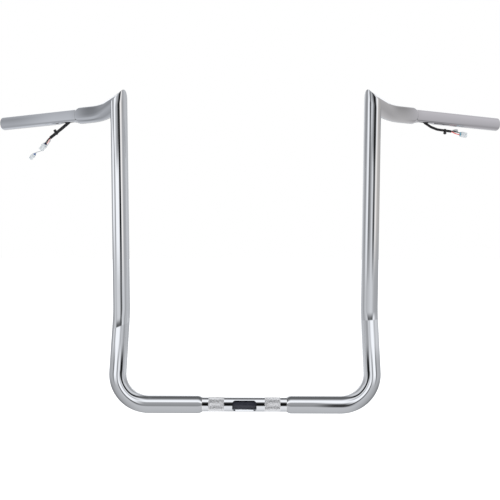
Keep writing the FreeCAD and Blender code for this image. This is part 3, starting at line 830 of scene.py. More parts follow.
def build_grips():
    right = build_grip("right_grip_shell", GRIP_L_RIGHT)
    shorter = build_grip("grip_to_mirror", GRIP_L_LEFT)
    left = mirrored_copy(shorter, "left_grip_shell")
    bpy.data.objects.remove(shorter)
    centres = np.array([RIGHT.at(-GRIP_IN), RIGHT.at(GRIP_L_RIGHT)])
    tangents = np.tile(GRIP_DIR, (2, 1))
    for ob, sign, hand in ((right, 1, "right"), (left, -1, "left")):
        true_tube_normals(ob, centres, tangents, (BAR_R, BAR_BORE_R), sign)
        place(ob, "chrome_grip", "root", hand + "_grip_tube")


build_grips()


# ---------------------------------------------------------------- weld rings
def weld_ring(joint, origin, axis):
    """Rippled concave fillet from the shoulder's end down to the bar."""
    foot = BAR_R + 0.004
    profile = [(0.0, foot), (0.0, SHOULDER_R)]
    profile += [(WELD_L * (1 - math.cos(turn)), SHOULDER_R - (SHOULDER_R - foot) * math.sin(turn))
                for turn in quarter_turn(7)]
    profile = np.array(profile)
    angle = circle(192)
    ripple = np.tile(0.05 * np.sin(44 * angle + 0.7 * np.sin(5 * angle)), (len(profile), 1))
    ripple[[0, -1]] = 0.0
    verts = turned(origin, axis, profile[:, :1] + 0.6 * ripple,
                   profile[:, 1:] + np.maximum(0.0, ripple) * 0.5, 192)
    ob = loop_solid(joint + "_bead", verts, 50, flip=True)
    point_outward(ob)
    place(ob, "chrome_weld", "root", joint)


weld_ring("right_clamp_weld", STEP_X * X_AXIS, -X_AXIS)
weld_ring("left_clamp_weld", -STEP_X * X_AXIS, X_AXIS)
weld_ring("right_grip_weld", RIGHT.origin, RIGHT.axis)
weld_ring("left_grip_weld", LEFT.origin, LEFT.axis)

# ---------------------------------------------------------------- taped loom behind the slot
LOOM_HALF, LOOM_R, LOOM_SIDES = 33.0, 7.55, 96
TAPE_PITCH, TAPE_STEP, TAPE_RAMP = 13.0, 0.34, 0.93  # ramp is the share of a turn that rises
LOOM_END = 1.2                                       # length rounded off at each end


def build_slot_loom():
    stations = np.arange(-LOOM_HALF, LOOM_HALF + 1e-6, 0.6)
    angle = circle(LOOM_SIDES)[None, :]
    along = stations[:, None]
    turn = (along / TAPE_PITCH - angle / (2 * math.pi)) % 1.0
    rise = np.where(turn < TAPE_RAMP, turn / TAPE_RAMP, 1 - (turn - TAPE_RAMP) / (1 - TAPE_RAMP))
    radii = LOOM_R + TAPE_STEP * rise
    radii += 0.16 * np.sin(3 * angle + 0.05 * along) + 0.1 * np.sin(5 * angle - 0.11 * along + 1.0)
    radii -= 0.9 * np.clip(1 - (LOOM_HALF - np.abs(along)) / LOOM_END, 0, None)
    verts = rings(np.outer(stations, X_AXIS), np.tile(X_AXIS, (len(stations), 1)), Z_AXIS,
                  radii, LOOM_SIDES)
    place(capped_solid("slot_loom_taped", verts, 60), "harness_tape", "root", "slot_loom_wrap")


build_slot_loom()

# ---------------------------------------------------------------- braided sleeves
# (along, below) in each grip's frame
LEFT_SLEEVE = [(14.0, 3.5), (24.0, 11.6), (40.0, 21.0), (68.3, 37.0)]
RIGHT_SLEEVE = [(14.0, 3.5), (24.0, 11.4), (38.8, 18.2), (53.3, 21.8), (69.5, 22.3), (86.3, 22.9)]
LEFT_SLEEVE_R, RIGHT_SLEEVE_R = 3.0, 2.5
BRAID_DEPTH = 0.34


def braided(name, centres, tangents, radius, strands, pitch):
    """Closed tube with a woven over-and-under strand relief."""
    lengths = np.linalg.norm(np.diff(centres, axis=0), axis=1)
    travel = np.concatenate([[0], np.cumsum(lengths)])
    stations = np.linspace(0, travel[-1], int(travel[-1] / (pitch / 8)) + 1)
    centres, tangents = (np.stack([np.interp(stations, travel, v[:, i]) for i in range(3)], 1)
                         for v in (centres, tangents))
    tangents /= np.linalg.norm(tangents, axis=1, keepdims=True)
    count = strands * 8
    around = strands * circle(count)[None, :] / (2 * math.pi)
    along = stations[:, None] / pitch
    one_way, other_way = around + along, around - along

    def ridge(t):
        return np.sqrt(np.clip(1 - (2 * (t % 1.0) - 1) ** 2, 0, 1))

    one_over = (np.floor(one_way) + np.floor(other_way)) % 2 < 0.5
    over = np.where(one_over, ridge(one_way), ridge(other_way))
    under = np.where(one_over, ridge(other_way), ridge(one_way)) * 0.45
    radii = radius - BRAID_DEPTH + BRAID_DEPTH * np.maximum(over, under)
    radii[[0, -1]] = radius * 0.62
    radii[[1, -2]] = radius - 0.22
    return capped_solid(name, rings(centres, tangents, Z_AXIS, radii, count), 70)


def build_sleeve(hand, side, points, bends, moving_end, **braid):
    path = filleted([side.at(*p) for p in points], bends, arc_step=6.0, line_step=2.0)
    place_between(braided(hand + "_tail_braid", *path, **braid), "braided_nylon",
                  side.at(19.0, 7.5), side.at(*moving_end),
                  hand + "_tail_sleeve")


build_sleeve("left", LEFT, LEFT_SLEEVE, bends=[12.0, 14.0], moving_end=(33.0, 16.7),
             radius=LEFT_SLEEVE_R, strands=14, pitch=2.4)
build_sleeve("right", RIGHT, RIGHT_SLEEVE, bends=[12.0, 20.0, 20.0, 30.0], moving_end=(34.0, 16.0),
             radius=RIGHT_SLEEVE_R, strands=12, pitch=2.1)


# ---------------------------------------------------------------- cable ties
def cable_tie(hand, side, at, along, radius, head):
    """Strap round a sleeve, its head, and the clipped strap standing out of the head."""
    name = hand + "_tie"
    centre = side.at(*at)
    axis = side.dir(*along)
    inner, outer, half, edge = radius + 0.04, radius + 0.95, 1.3, 0.25
    rounded = [(half, outer - edge), (half - 0.3 * edge, outer - 0.3 * edge), (half - edge, outer)]
    profile = [(-half, inner), (-half, outer - edge), (-half + 0.3 * edge, outer - 0.3 * edge),
               (-half + edge, outer), *rounded[::-1], (half, inner)]
    profile = np.array(profile)
    band = loop_solid(name + "_band", turned(centre, axis, profile[:, :1], profile[:, 1:], 72), 40)
    point_outward(band)
    out = square_to(axis, side.dir(*head))
    axes = (axis, np.cross(out, axis), out)
    box = loft(name + "_head", centre + out * (radius + 0.15), axes, [
        (0, 2.1, 1.8, 0.5), (0.35, 2.4, 2.1, 0.7), (3.65, 2.4, 2.1, 0.7), (4.15, 2.2, 1.9, 0.6),
        (4.2, 1.9, 1.6, 0.5), (4.2, 1.25, 0.7, 0.2), (3.2, 1.2, 0.65, 0.2)], 35)
    stub = loft(name + "_stub", centre + out * (radius + 3.0), axes, [
        (0, 1.05, 0.45, 0.2), (2.0, 1.05, 0.45, 0.2), (2.15, 0.9, 0.34, 0.15)], 35)
    place(join(name, band, box, stub), "tie_nylon", hand + "_tail", hand + "_cable_tie")


cable_tie("left", LEFT, at=(53.8, 28.8), along=(28.3, 16.0), radius=LEFT_SLEEVE_R,
          head=(0.35, -1.0))
cable_tie("right", RIGHT, at=(72.0, 22.4), along=(16.2, 0.5), radius=RIGHT_SLEEVE_R,
          head=(0.0, 1.0))


# ---------------------------------------------------------------- wires
def catmull(points, per=8):
    """Catmull-Rom curve through points, per samples to a span."""
    pts = np.array(points, float)
    pts = np.vstack([2 * pts[0] - pts[1], pts, 2 * pts[-1] - pts[-2]])
    curve = []
    for before, start, end, after in zip(pts, pts[1:], pts[2:], pts[3:]):
        for t in (k / per for k in range(per)):
            curve.append(0.5 * ((2 * start) + (-before + end) * t
                                + (2 * before - 5 * start + 4 * end - after) * t ** 2
                                + (-before + 3 * start - 3 * end + after) * t ** 3))
    curve.append(pts[-2])
    return np.array(curve)


def wire_mesh(name, points, radius, count=20):
    centres = catmull(points)
    tangents = np.gradient(centres, axis=0)
    tangents /= np.linalg.norm(tangents, axis=1, keepdims=True)
    radii = np.full(len(centres), radius)
    radii[0] = radii[-1] = radius * 0.8
    return capped_solid(name, rings(centres, tangents, clear_ref(tangents[0]), radii, count), 60)


class WireRun:
    """Wires from a sleeve's end to the rear of a connector; leave and arrive are their
    straight lengths at the two ends."""

    def __init__(self, side, sleeve, rear, connector_axes, leave, arrive):
        self.side, self.leave, self.arrive = side, leave, arrive
        self.axis, self.up = connector_axes
        self.end = side.at(*sleeve[-1])
        self.heading = side.dir(*np.subtract(sleeve[-1], sleeve[-2]))
        self.rear = side.at(*rear) - self.axis * 2.35

    def point(self, ahead, back=0.0, up=0.0):
        """A point measured from the sleeve's end."""
        return self.end + self.heading * ahead + self.side.back * back + self.up * up

    def wire(self, name, start, finish, radius, bulge, phase):
        """start and finish are (back, up) offsets; bulge bows the middle at angle phase."""
        leaving = self.point(self.leave, *start)
        plug = self.rear + self.side.back * finish[0] + self.up * finish[1]
        arriving = plug - self.axis * self.arrive
        bow = self.side.back * bulge * math.cos(phase) + self.up * bulge * math.sin(phase)
        middle = (leaving + arriving) / 2 + bow
        return wire_mesh(name, [self.point(-1.5, *start), leaving, middle, arriving, plug], radius)


# ---------------------------------------------------------------- connectors
# housing stations: z is fraction * length + offset; then growth beyond the half sizes, corner
HOUSING = [
    (0, 0, -0.3, 0.8), (0, 0.12, -0.1, 1.0), (0, 0.35, 0, 1.1), (0.14, 0, 0, 1.1),
    (0.15, 0, -0.28, 1.0), (0.19, 0, -0.28, 1.0), (0.20, 0, 0, 1.1), (0.30, 0, 0, 1.1),
    (0.30, 0.15, 0.5, 1.4), (0.30, 0.3, 0.55, 1.5), (0.30, 2.1, 0.55, 1.5),
    (0.30, 2.3, 0.45, 1.4), (0.30, 2.4, -0.05, 1.1), (1, -1.5, -0.05, 1.1),
    (1, -1.3, 0.12, 1.15), (1, -0.3, 0.12, 1.15), (1, -0.08, 0, 1.0), (1, 0, -0.2, 0.9),
    (1, 0, -0.95, 0.6), (1, -0.15, -1.1, 0.6), (0.53, 0, -1.15, 0.6),
]
SEAL_NOMINAL_R = 1.35
SEAL_RIBS = 3


def connector_housing(prefix, origin, axes, length, half_w, half_h):
    """Stepped shell with a latch arm between two rails on top and ribs on its sides."""
    x_dir, y_dir, axis = axes
    shell = loft(prefix + "_shell", origin, axes,
                 [(length * part + offset, half_w + grow, half_h + grow, corner)
                  for part, offset, grow, corner in HOUSING], 32)
    latch_w = half_w * 2 * 0.22
    start, end = length * 0.42, length * 0.94
    latch = loft(prefix + "_latch", origin + y_dir * (half_h + 0.35), axes, [
        (start, latch_w, 0.28, 0.2, 0, -0.25), (start + 0.5, latch_w, 0.42, 0.2, 0, -0.05),
        (start + 2.2, latch_w, 0.5, 0.25), (end - 1.8, latch_w, 0.5, 0.25),
        (end - 1.4, latch_w, 0.62, 0.25, 0, 0.1), (end, latch_w, 0.5, 0.2)], 32)
    rails = [loft(prefix + "_rail", origin + y_dir * (half_h + 0.15) + x_dir * s * (latch_w + 0.55),
                  axes, [(start + 0.4, 0.25, 0.35, 0.12), (end - 0.6, 0.25, 0.35, 0.12),
                         (end - 0.3, 0.2, 0.25, 0.1)], 32) for s in (-1, 1)]
    ribs = [loft(prefix + "_rib", origin + x_dir * s * (half_w + 0.02) + y_dir * y,
                 (axis, y_dir, x_dir * s), [(0, length * 0.16, 0.28, 0.2, length * 0.66, 0),
                                            (0.26, length * 0.15, 0.2, 0.15, length * 0.66, 0)], 32)
            for s, y in ((1, 0.9), (1, -0.9), (-1, 0.9), (-1, -0.9))]
    return join(prefix + "_housing", shell, latch, *rails, *ribs)


def seal_profile(cap, radius):
    """(along, radius) of a ribbed seal standing cap behind the housing."""
    profile = [(-cap, 0.95), (-cap, 1.15), (-cap + 0.15, 1.25)]
    width = (cap - 0.3) / SEAL_RIBS
    for k in range(SEAL_RIBS):
        base = -cap + 0.3 + (cap - 0.3) * k / SEAL_RIBS
        profile += [(base, 1.22), (base + 0.2 * width, 1.38), (base + 0.45 * width, 1.38),
                    (base + 0.65 * width, 1.16)]
    profile.append((0.0, 1.2))
    return [(along, r * radius / SEAL_NOMINAL_R) for along, r in profile]


def connector(prefix, side, rear, heading, size, cells, cap, body, seal,
              housing="connector_nylon", seal_radius=SEAL_NOMINAL_R):
    """Housing, seals and pins. rear is (along, below, back), size is (length, width, height)
    and cells are (x, y) in its cross-section. Returns its axis and its up direction."""
    origin = side.at(*rear)
    axis = side.dir(*heading)
    x_dir = side.back
    y_dir = np.cross(x_dir, axis)
    if y_dir[2] < 0:
        y_dir = -y_dir
    axes = (x_dir, y_dir, axis)
    length, width, height = size
    node = prefix + "_connector"
    shell = connector_housing(prefix, origin, axes, length, width / 2, height / 2)
    place(shell, housing, body, node)
    seals, pins = [], []
    start = length * 0.52
    for x, y in cells:
        centre = origin + x_dir * x + y_dir * y
        seals.append(lathe(prefix + "_seal", centre, axis, seal_profile(cap, seal_radius), 32, 50))
        pins.append(loft(prefix + "_pin", centre, axes, [
            (start, 0.44, 0.44, 0.08), (start + length * 0.25, 0.44, 0.44, 0.08),
            (start + length * 0.31, 0.3, 0.3, 0.08), (start + length * 0.335, 0.12, 0.12, 0.05)],
            30, steps=2))
    plural = "s" if len(cells) > 1 else ""
    place(join(prefix + "_seals", *seals), seal, body, node + "_seal" + plural)
    place(join(prefix + "_pins", *pins), "pin_metal", body, node + "_pin" + plural)
    return axis, y_dir


def build_left_leads():
    """Throttle side: four-way connector, and two white wires to a two-way connector."""
    rear = (80.96, 48.44)
    axes = connector("left_main", LEFT, rear, heading=(11.6, 10.6), size=(15.0, 9.0, 7.2),
                     cells=[(-1.6, 1.2), (1.0, 1.2), (-1.6, -1.2), (1.0, -1.2)], cap=2.4,
                     body="left_tail", seal="silicone_seal_dark", seal_radius=1.12)
    run = WireRun(LEFT, LEFT_SLEEVE, rear, axes, leave=2.6, arrive=2.6)
    black = [run.wire("black_wire", (-1.5, 0.64), (-1.6, 1.2), 0.6, bulge=0.25, phase=2.6),
             run.wire("black_wire", (-1.5, -0.64), (-1.6, -1.2), 0.6, bulge=0.25, phase=3.9)]
    place(join("left_black_wires", *black), "wire_black", "left_tail", "left_wires_black")
    red = run.wire("left_red_wire", (0.05, -0.95), (1.0, -1.2), 0.55, bulge=0.5, phase=4.7)
    place(red, "wire_red", "left_tail", "left_wire_red")
    green = run.wire("left_green_wire", (0.05, 0.95), (1.0, 1.2), 0.55, bulge=0.5, phase=1.6)
    place(green, "wire_green", "left_tail", "left_wire_green")

    branch_rear = (111.08, 66.33, 3.0)
    axis, _ = connector("left_branch", LEFT, branch_rear, heading=(11.2, 8.3),
                        size=(13.0, 7.0, 5.8), cells=[(-1.4, 0.0), (1.4, 0.0)], cap=2.6,
                        body="left_branch", seal="silicone_seal", seal_radius=1.3)
    plug = LEFT.at(*branch_rear)

    def branch_wire(back, up):
        lift = run.up * up
        return wire_mesh("white_wire", [
            run.point(-1.5, 1.6 + back * 0.6, up), run.point(1.5, 2.3 + back, up),
            LEFT.at(73.4, 41.6, 5.6 + back) + lift, LEFT.at(79.5, 47.6, 7.5 + back) - lift,
            LEFT.at(86.5, 54.0, 7.8 + back) + lift, LEFT.at(94.0, 59.6, 7.0 + back * 0.6) - lift,
            plug - axis * 6.0 + LEFT.back * back * 2.0,
            plug - axis * 2.5 + LEFT.back * back * 2.2], 0.5, 16)

    white = join("left_white_wires", branch_wire(-0.62, 0.2), branch_wire(0.62, -0.2))
    place_between(white, "wire_white",
                  run.point(-0.5), run.point(5.5), "left_branch_wires")


def build_right_leads():
    """Clutch side: two-way connector, and one lead to a single-way connector."""
    rear = (109.6, 26.2)
    axes = connector("right_main", RIGHT, rear, heading=(13.0, 1.7), size=(13.0, 8.4, 8.8),
                     cells=[(0.0, 1.75), (0.0, -1.75)], cap=2.4, body="right_tail",
                     seal="silicone_seal_teal")
    run = WireRun(RIGHT, RIGHT_SLEEVE, rear, axes, leave=3.2, arrive=3.0)
    black = run.wire("right_black_wire", (-0.2, 0.9), (0.0, 1.75), 0.9, bulge=0.5, phase=1.2)
    place(black, "wire_black", "right_tail", "right_wire_black")
    red = run.wire("right_red_wire", (-0.2, -1.1), (0.0, -1.75), 0.85, bulge=0.5, phase=4.4)
    place(red, "wire_red", "right_tail", "right_wire_red")

    branch_rear, cap = (96.6, 20.6, 6.0), 1.6
    axis, _ = connector("right_branch", RIGHT, branch_rear, heading=(8.0, -0.4),
                        size=(9.0, 5.6, 5.0), cells=[(0.0, 0.0)], cap=cap, body="right_branch",
                        seal="connector_nylon_grey", housing="connector_nylon_grey")
    plug = RIGHT.at(*branch_rear) - axis * cap
    lead = wire_mesh("right_branch_lead", [
        run.point(-1.5, 1.2, 0.3), run.point(1.4, 1.7, 0.4), run.point(4.0, 3.6, 1.3),
        plug - axis * 1.6, plug], 0.7, 16)
    place_between(lead, "wire_red_brown",
                  run.point(-0.5), run.point(4.5), "right_branch_wire")


build_left_leads()
build_right_leads()

# ---------------------------------------------------------------- bar ends
ROTOR_R = 9.42
DOG_INNER_R, DOG_HALF_ANGLE, DOG_EDGE, DOG_STEPS = 6.2, math.radians(20), 0.25, 14


def rotor_dog(name, start, end, middle):
    """Annular block on the left grip's axis, centred on angle middle, with softened edges."""
    verts = []
    for along, inset in ((start, 0.0), (end - DOG_EDGE, 0.0),
                         (end - 0.3 * DOG_EDGE, 0.3 * DOG_EDGE), (end, DOG_EDGE)):
        ring = []
        for sweep, radius, shrink in ((1, ROTOR_R, -inset), (-1, DOG_INNER_R, inset)):
            half = DOG_HALF_ANGLE - inset / radius
            for i in range(DOG_STEPS + 1):
                angle = middle + sweep * (-half + 2 * half * i / DOG_STEPS)
                spoke = LEFT.down * math.cos(angle) + LEFT.back * math.sin(angle)
                ring.append(LEFT.at(along) + spoke * (radius + shrink))
        verts.append(ring)
    verts = np.array(verts)
    ring_count, count = verts.shape[:2]
    faces = ring_faces(ring_count, count, False).tolist()
    for base, flip in ((0, True), ((ring_count - 1) * count, False)):
        for i in range(DOG_STEPS):
            quad = (base + i, base + i + 1, base + count - 2 - i, base + count - 1 - i)
            faces.append(quad[::-1] if flip else quad)
    ob = smooth_object(name, verts.reshape(-1, 3), faces, 35)
    point_outward(ob)
    return ob


def build_rotor():
    """Disc on a stem in the left grip's end, with two dogs on its face."""
    seat = GRIP_L_LEFT - 4.2
    edge = 0.3
    profile = [
        (-26.2, 2.6), (-25.8, 3.0), (0.4, 3.0), (0.4, ROTOR_R - edge),
        (0.5, ROTOR_R - 0.3 * edge), (0.4 + edge, ROTOR_R), (3.4 - edge, ROTOR_R),
        (3.4 - 0.3 * edge, ROTOR_R - 0.3 * edge), (3.4, ROTOR_R - edge), (3.4, 5.6), (3.1, 5.3),
        (3.1, 3.0), (3.4, 2.7), (3.4, 2.1), (1.2, 2.0)]
    disc = lathe("rotor_disc", LEFT.at(seat), LEFT.axis, profile, 96)
    dogs = [rotor_dog("rotor_dog", seat + 3.2, seat + 7.6, middle) for middle in (0.0, math.pi)]
    place(join("throttle_sensor_dogs", disc, *dogs), "sensor_plastic", "throttle_rotor",
          "throttle_sensor_rotor")


def build_plug():
    """Ribbed plug in the right grip's end, with a round-edged boss."""
    boss_r, boss_end, edge = 4.4, 3.5, 0.9
    profile = [(-16.0, 7.0), (-16.0, 9.2), (-15.6, 9.58)]
    for k in range(3):
        base = -15.0 + k * 4.2
        profile += [(base, 9.58), (base + 0.4, 9.3), (base + 2.6, 9.3), (base + 3.0, 9.58)]
    profile += [(-1.4, 9.58), (-1.1, 9.48), (-1.0, 9.2), (-1.0, 4.9), (-0.8, 4.55),
                (-0.4, boss_r), (boss_end - edge, boss_r)]
    profile += [(boss_end - edge + edge * math.sin(turn), boss_r - edge + edge * math.cos(turn))
                for turn in quarter_turn(6)]
    profile += [(boss_end, 1.2), (boss_end - 0.2, 0.9)]
    ob = lathe("bar_end_plug_moulded", RIGHT.at(GRIP_L_RIGHT), RIGHT.axis, profile, 72)
    place(ob, "plug_plastic", "end_plug", "bar_end_plug")


build_rotor()
build_plug()

# ---------------------------------------------------------------- camera
CAMERA_YAW, CAMERA_PITCH, CAMERA_ROLL = -0.70, 0.89, 0.08  # degrees
ORIGIN_IN_VIEW = (-9.27, 1900.0, -278.12)  # handlebar's origin: mm right, ahead, up of the camera


def turn_matrix(degrees, first, second):
    """Rotation that turns axis first towards axis second."""
    angle = math.radians(degrees)
    matrix = np.eye(3)
    matrix[first, first] = matrix[second, second] = math.cos(angle)
    matrix[second, first] = math.sin(angle)
    matrix[first, second] = -math.sin(angle)
    return matrix


def build_camera():
    view = (turn_matrix(CAMERA_ROLL, 2, 0) @ turn_matrix(CAMERA_PITCH, 1, 2)
            @ turn_matrix(CAMERA_YAW, 0, 1))
    right, forward, up = view
    matrix = np.eye(4)
    matrix[:3, :3] = np.stack([right, up, -forward], 1)
    matrix[:3, 3] = -view.T @ np.array(ORIGIN_IN_VIEW) * MM
    data = bpy.data.cameras.new("camera")
    camera = add_object("camera", data)
    camera.matrix_world = Matrix(matrix.tolist())
    data.sensor_width = 36.0
    data.lens = 75.8736
    data.shift_x, data.shift_y = 0.0008, 0.0006
    data.clip_start, data.clip_end = 0.05, 60
    bpy.context.scene.camera = camera


build_camera()
scene = bpy.context.scene
scene.view_settings.view_transform = "Standard"
scene.view_settings.look = "None"

# ---------------------------------------------------------------- reflection dome, in metres
# rgb balance of the cards
COOL = (0.965, 0.995, 1.05)
WARM = (1.02, 0.995, 0.985)
SLATE = (0.945, 0.985, 1.07)
NEUTRAL = (1.0, 0.985, 1.01)
LAVENDER = (1.0, 0.98, 1.045)

# Cards are (degrees, display brightness out of 255[, balance]).
# Round the horizon, as each riser sees it: 0 = front, + = to the right.
LEFT_TOP = [
    (-180, 150), (-120, 160), (-110, 240), (-95, 250), (-90, 150), (-75, 130), (-65, 180),
    (-60, 250), (-45, 250), (-40, 190), (-20, 160), (-10, 110), (0, 20), (15, 10), (20, 110),
    (25, 240, WARM), (40, 240, WARM), (50, 170, WARM), (65, 150), (85, 180), (110, 190),
    (180, 170)]
LEFT_MID = [
    (-180, 150), (-110, 160), (-100, 250), (-85, 250), (-65, 150), (-55, 160), (-50, 250),
    (-15, 250), (-5, 220), (0, 40), (5, 20), (20, 20), (25, 220), (30, 250, WARM),
    (40, 230, WARM), (50, 180), (65, 160), (80, 170), (95, 200), (180, 170)]
LEFT_LOW = [
    (-180, 150), (-105, 160), (-90, 210), (-70, 180), (-50, 210), (-15, 210), (-10, 180),
    (0, 70), (10, 70), (15, 150), (25, 210), (45, 200), (60, 160), (95, 200), (120, 180),
    (180, 160)]
RIGHT_TOP = [
    (-180, 200), (-130, 180), (-105, 140), (-85, 150), (-75, 190), (-70, 250), (-60, 250),
    (-50, 150), (-45, 60), (-30, 60), (-25, 190), (-20, 220), (-10, 210), (0, 150), (15, 130),
    (20, 30), (35, 20), (45, 110), (50, 230), (65, 240, WARM), (75, 190, WARM), (90, 170, WARM),
    (130, 160, WARM), (180, 170)]
RIGHT_MID = [
    (-180, 190), (-135, 190), (-90, 140), (-65, 240), (-50, 240), (-45, 120), (-30, 110),
    (-5, 180), (5, 220), (15, 210), (20, 120), (30, 60), (40, 70), (45, 200), (50, 230, WARM),
    (65, 230, WARM), (80, 180, WARM), (150, 160, WARM), (180, 170)]
RIGHT_LOW = [
    (-180, 190), (-110, 180), (-85, 160), (-65, 200), (-45, 180), (20, 210), (55, 170),
    (120, 160), (180, 180)]
# the lower legs, which lean back
LEFT_LEG = [
    (-180, 150), (-120, 150), (-105, 180), (-90, 230), (-80, 160), (-70, 170), (-60, 250),
    (-10, 250), (0, 230), (15, 170), (35, 200), (55, 180), (70, 150), (90, 190), (180, 160)]
RIGHT_LEG = [
    (-180, 180), (-90, 190), (-65, 160), (-45, 160), (-30, 210), (-10, 190), (0, 230),
    (15, 250), (45, 250), (55, 210), (70, 180), (85, 210), (180, 170)]
# just above the knee
LEFT_PATCH = [
    (-180, 150), (-110, 160), (-85, 210), (-70, 180), (-60, 90), (5, 100), (10, 30), (20, 20),
    (25, 200), (40, 230), (60, 160), (100, 200), (180, 170)]
RIGHT_PATCH = [
    (-180, 190), (-85, 170), (-40, 210), (-35, 70), (-30, 100), (0, 110), (30, 100), (40, 50),
    (50, 230), (65, 240), (80, 190), (100, 170), (180, 180)]
# From overhead to the floor, as level tubes see it: 0 = front, 90 = up, -90 = down.
LEVEL = [
    (-180, 120), (-110, 180), (-20, 190), (-15, 150), (-10, 140), (30, 160), (35, 180),
    (40, 250), (60, 250), (80, 140), (95, 100), (110, 90), (180, 150)]
RIGHT_LEVEL = [
    (-180, 120), (-110, 180), (-30, 190), (-20, 100), (-10, 40), (0, 50), (15, 100), (35, 250),
    (60, 250), (80, 140), (95, 100), (110, 90), (180, 150)]
CLAMP = [
    (-180, 150), (-70, 220), (-25, 230), (-15, 190), (-10, 20), (0, 10), (20, 20), (35, 60),
    (45, 150), (50, 230), (60, 250), (80, 250), (105, 120), (125, 100), (180, 150)]
# part way round the lower bend, and at the foot of the leg
LOW_BEND = [
    (-180, 130), (-140, 160), (-30, 190), (-20, 150), (-15, 70), (-5, 80), (0, 200), (5, 250),
    (40, 250), (50, 170), (55, 150), (60, 210), (75, 230), (85, 120), (90, 10), (105, 10),
    (115, 70), (120, 200), (150, 210), (180, 160)]
LEG_FOOT = [
    (-180, 140), (-75, 180), (-65, 110), (-55, 120), (-50, 250), (-20, 250), (0, 110),
    (15, 230), (35, 240), (40, 190), (50, 60), (55, 10), (70, 20), (80, 120), (85, 190),
    (130, 200), (180, 160)]
# elbows and grips, each at its inner and its outer end
LEFT_ELBOW_IN = [
    (-180, 190), (-115, 170), (-95, 150), (-45, 170), (10, 140), (85, 150), (105, 140),
    (180, 190)]
LEFT_ELBOW_OUT = [
    (-180, 190), (-115, 190), (-80, 130), (-65, 180), (-45, 180), (-30, 150), (0, 130),
    (95, 120), (130, 160), (180, 180)]
RIGHT_ELBOW_IN = [(-180, 200), (-60, 160), (85, 170), (100, 160), (180, 200)]
RIGHT_ELBOW_OUT = [(-180, 190), (95, 140), (115, 160), (180, 190)]
LEFT_GRIP_IN = [
    (-180, 200), (-90, 200), (-75, 160), (-60, 160), (-50, 190), (130, 170), (180, 180)]
LEFT_GRIP_OUT = [
    (-180, 200), (-100, 200), (-85, 170), (-70, 160), (-30, 170), (40, 150), (180, 180)]
RIGHT_GRIP_IN = [
    (-180, 200), (-125, 190), (-80, 130), (-70, 130), (-60, 170), (80, 190), (100, 180),
    (180, 200)]
RIGHT_GRIP_OUT = [(-180, 200), (-70, 150), (-35, 170), (70, 190), (95, 180), (180, 200)]
# behind the bar: 0 = back; + = up for level tubes, to the right for standing ones
REAR_LEVEL = [
    (-180, 180), (-45, 180), (-20, 200), (-10, 160), (-5, 40), (5, 20), (10, 120), (15, 250),
    (25, 250), (40, 150), (180, 180)]
REAR_STANDING = [
    (-180, 180), (-40, 170), (-35, 210), (-25, 250), (-15, 240), (-10, 90), (0, 20), (5, 30),
    (10, 150), (15, 230), (35, 140), (40, 180), (180, 180)]

BEND_X, BEND_Z = 0.1725, 0.060   # centre of the lower bend
CLAMP_EDGE_X = 0.0762
KNEE_X = 0.2366                  # where each side's leg-to-riser boundary height is given


def linear(level):
    level = level / 255.0
    return level / 12.92 if level <= 0.04045 else ((level + 0.055) / 1.055) ** 2.4


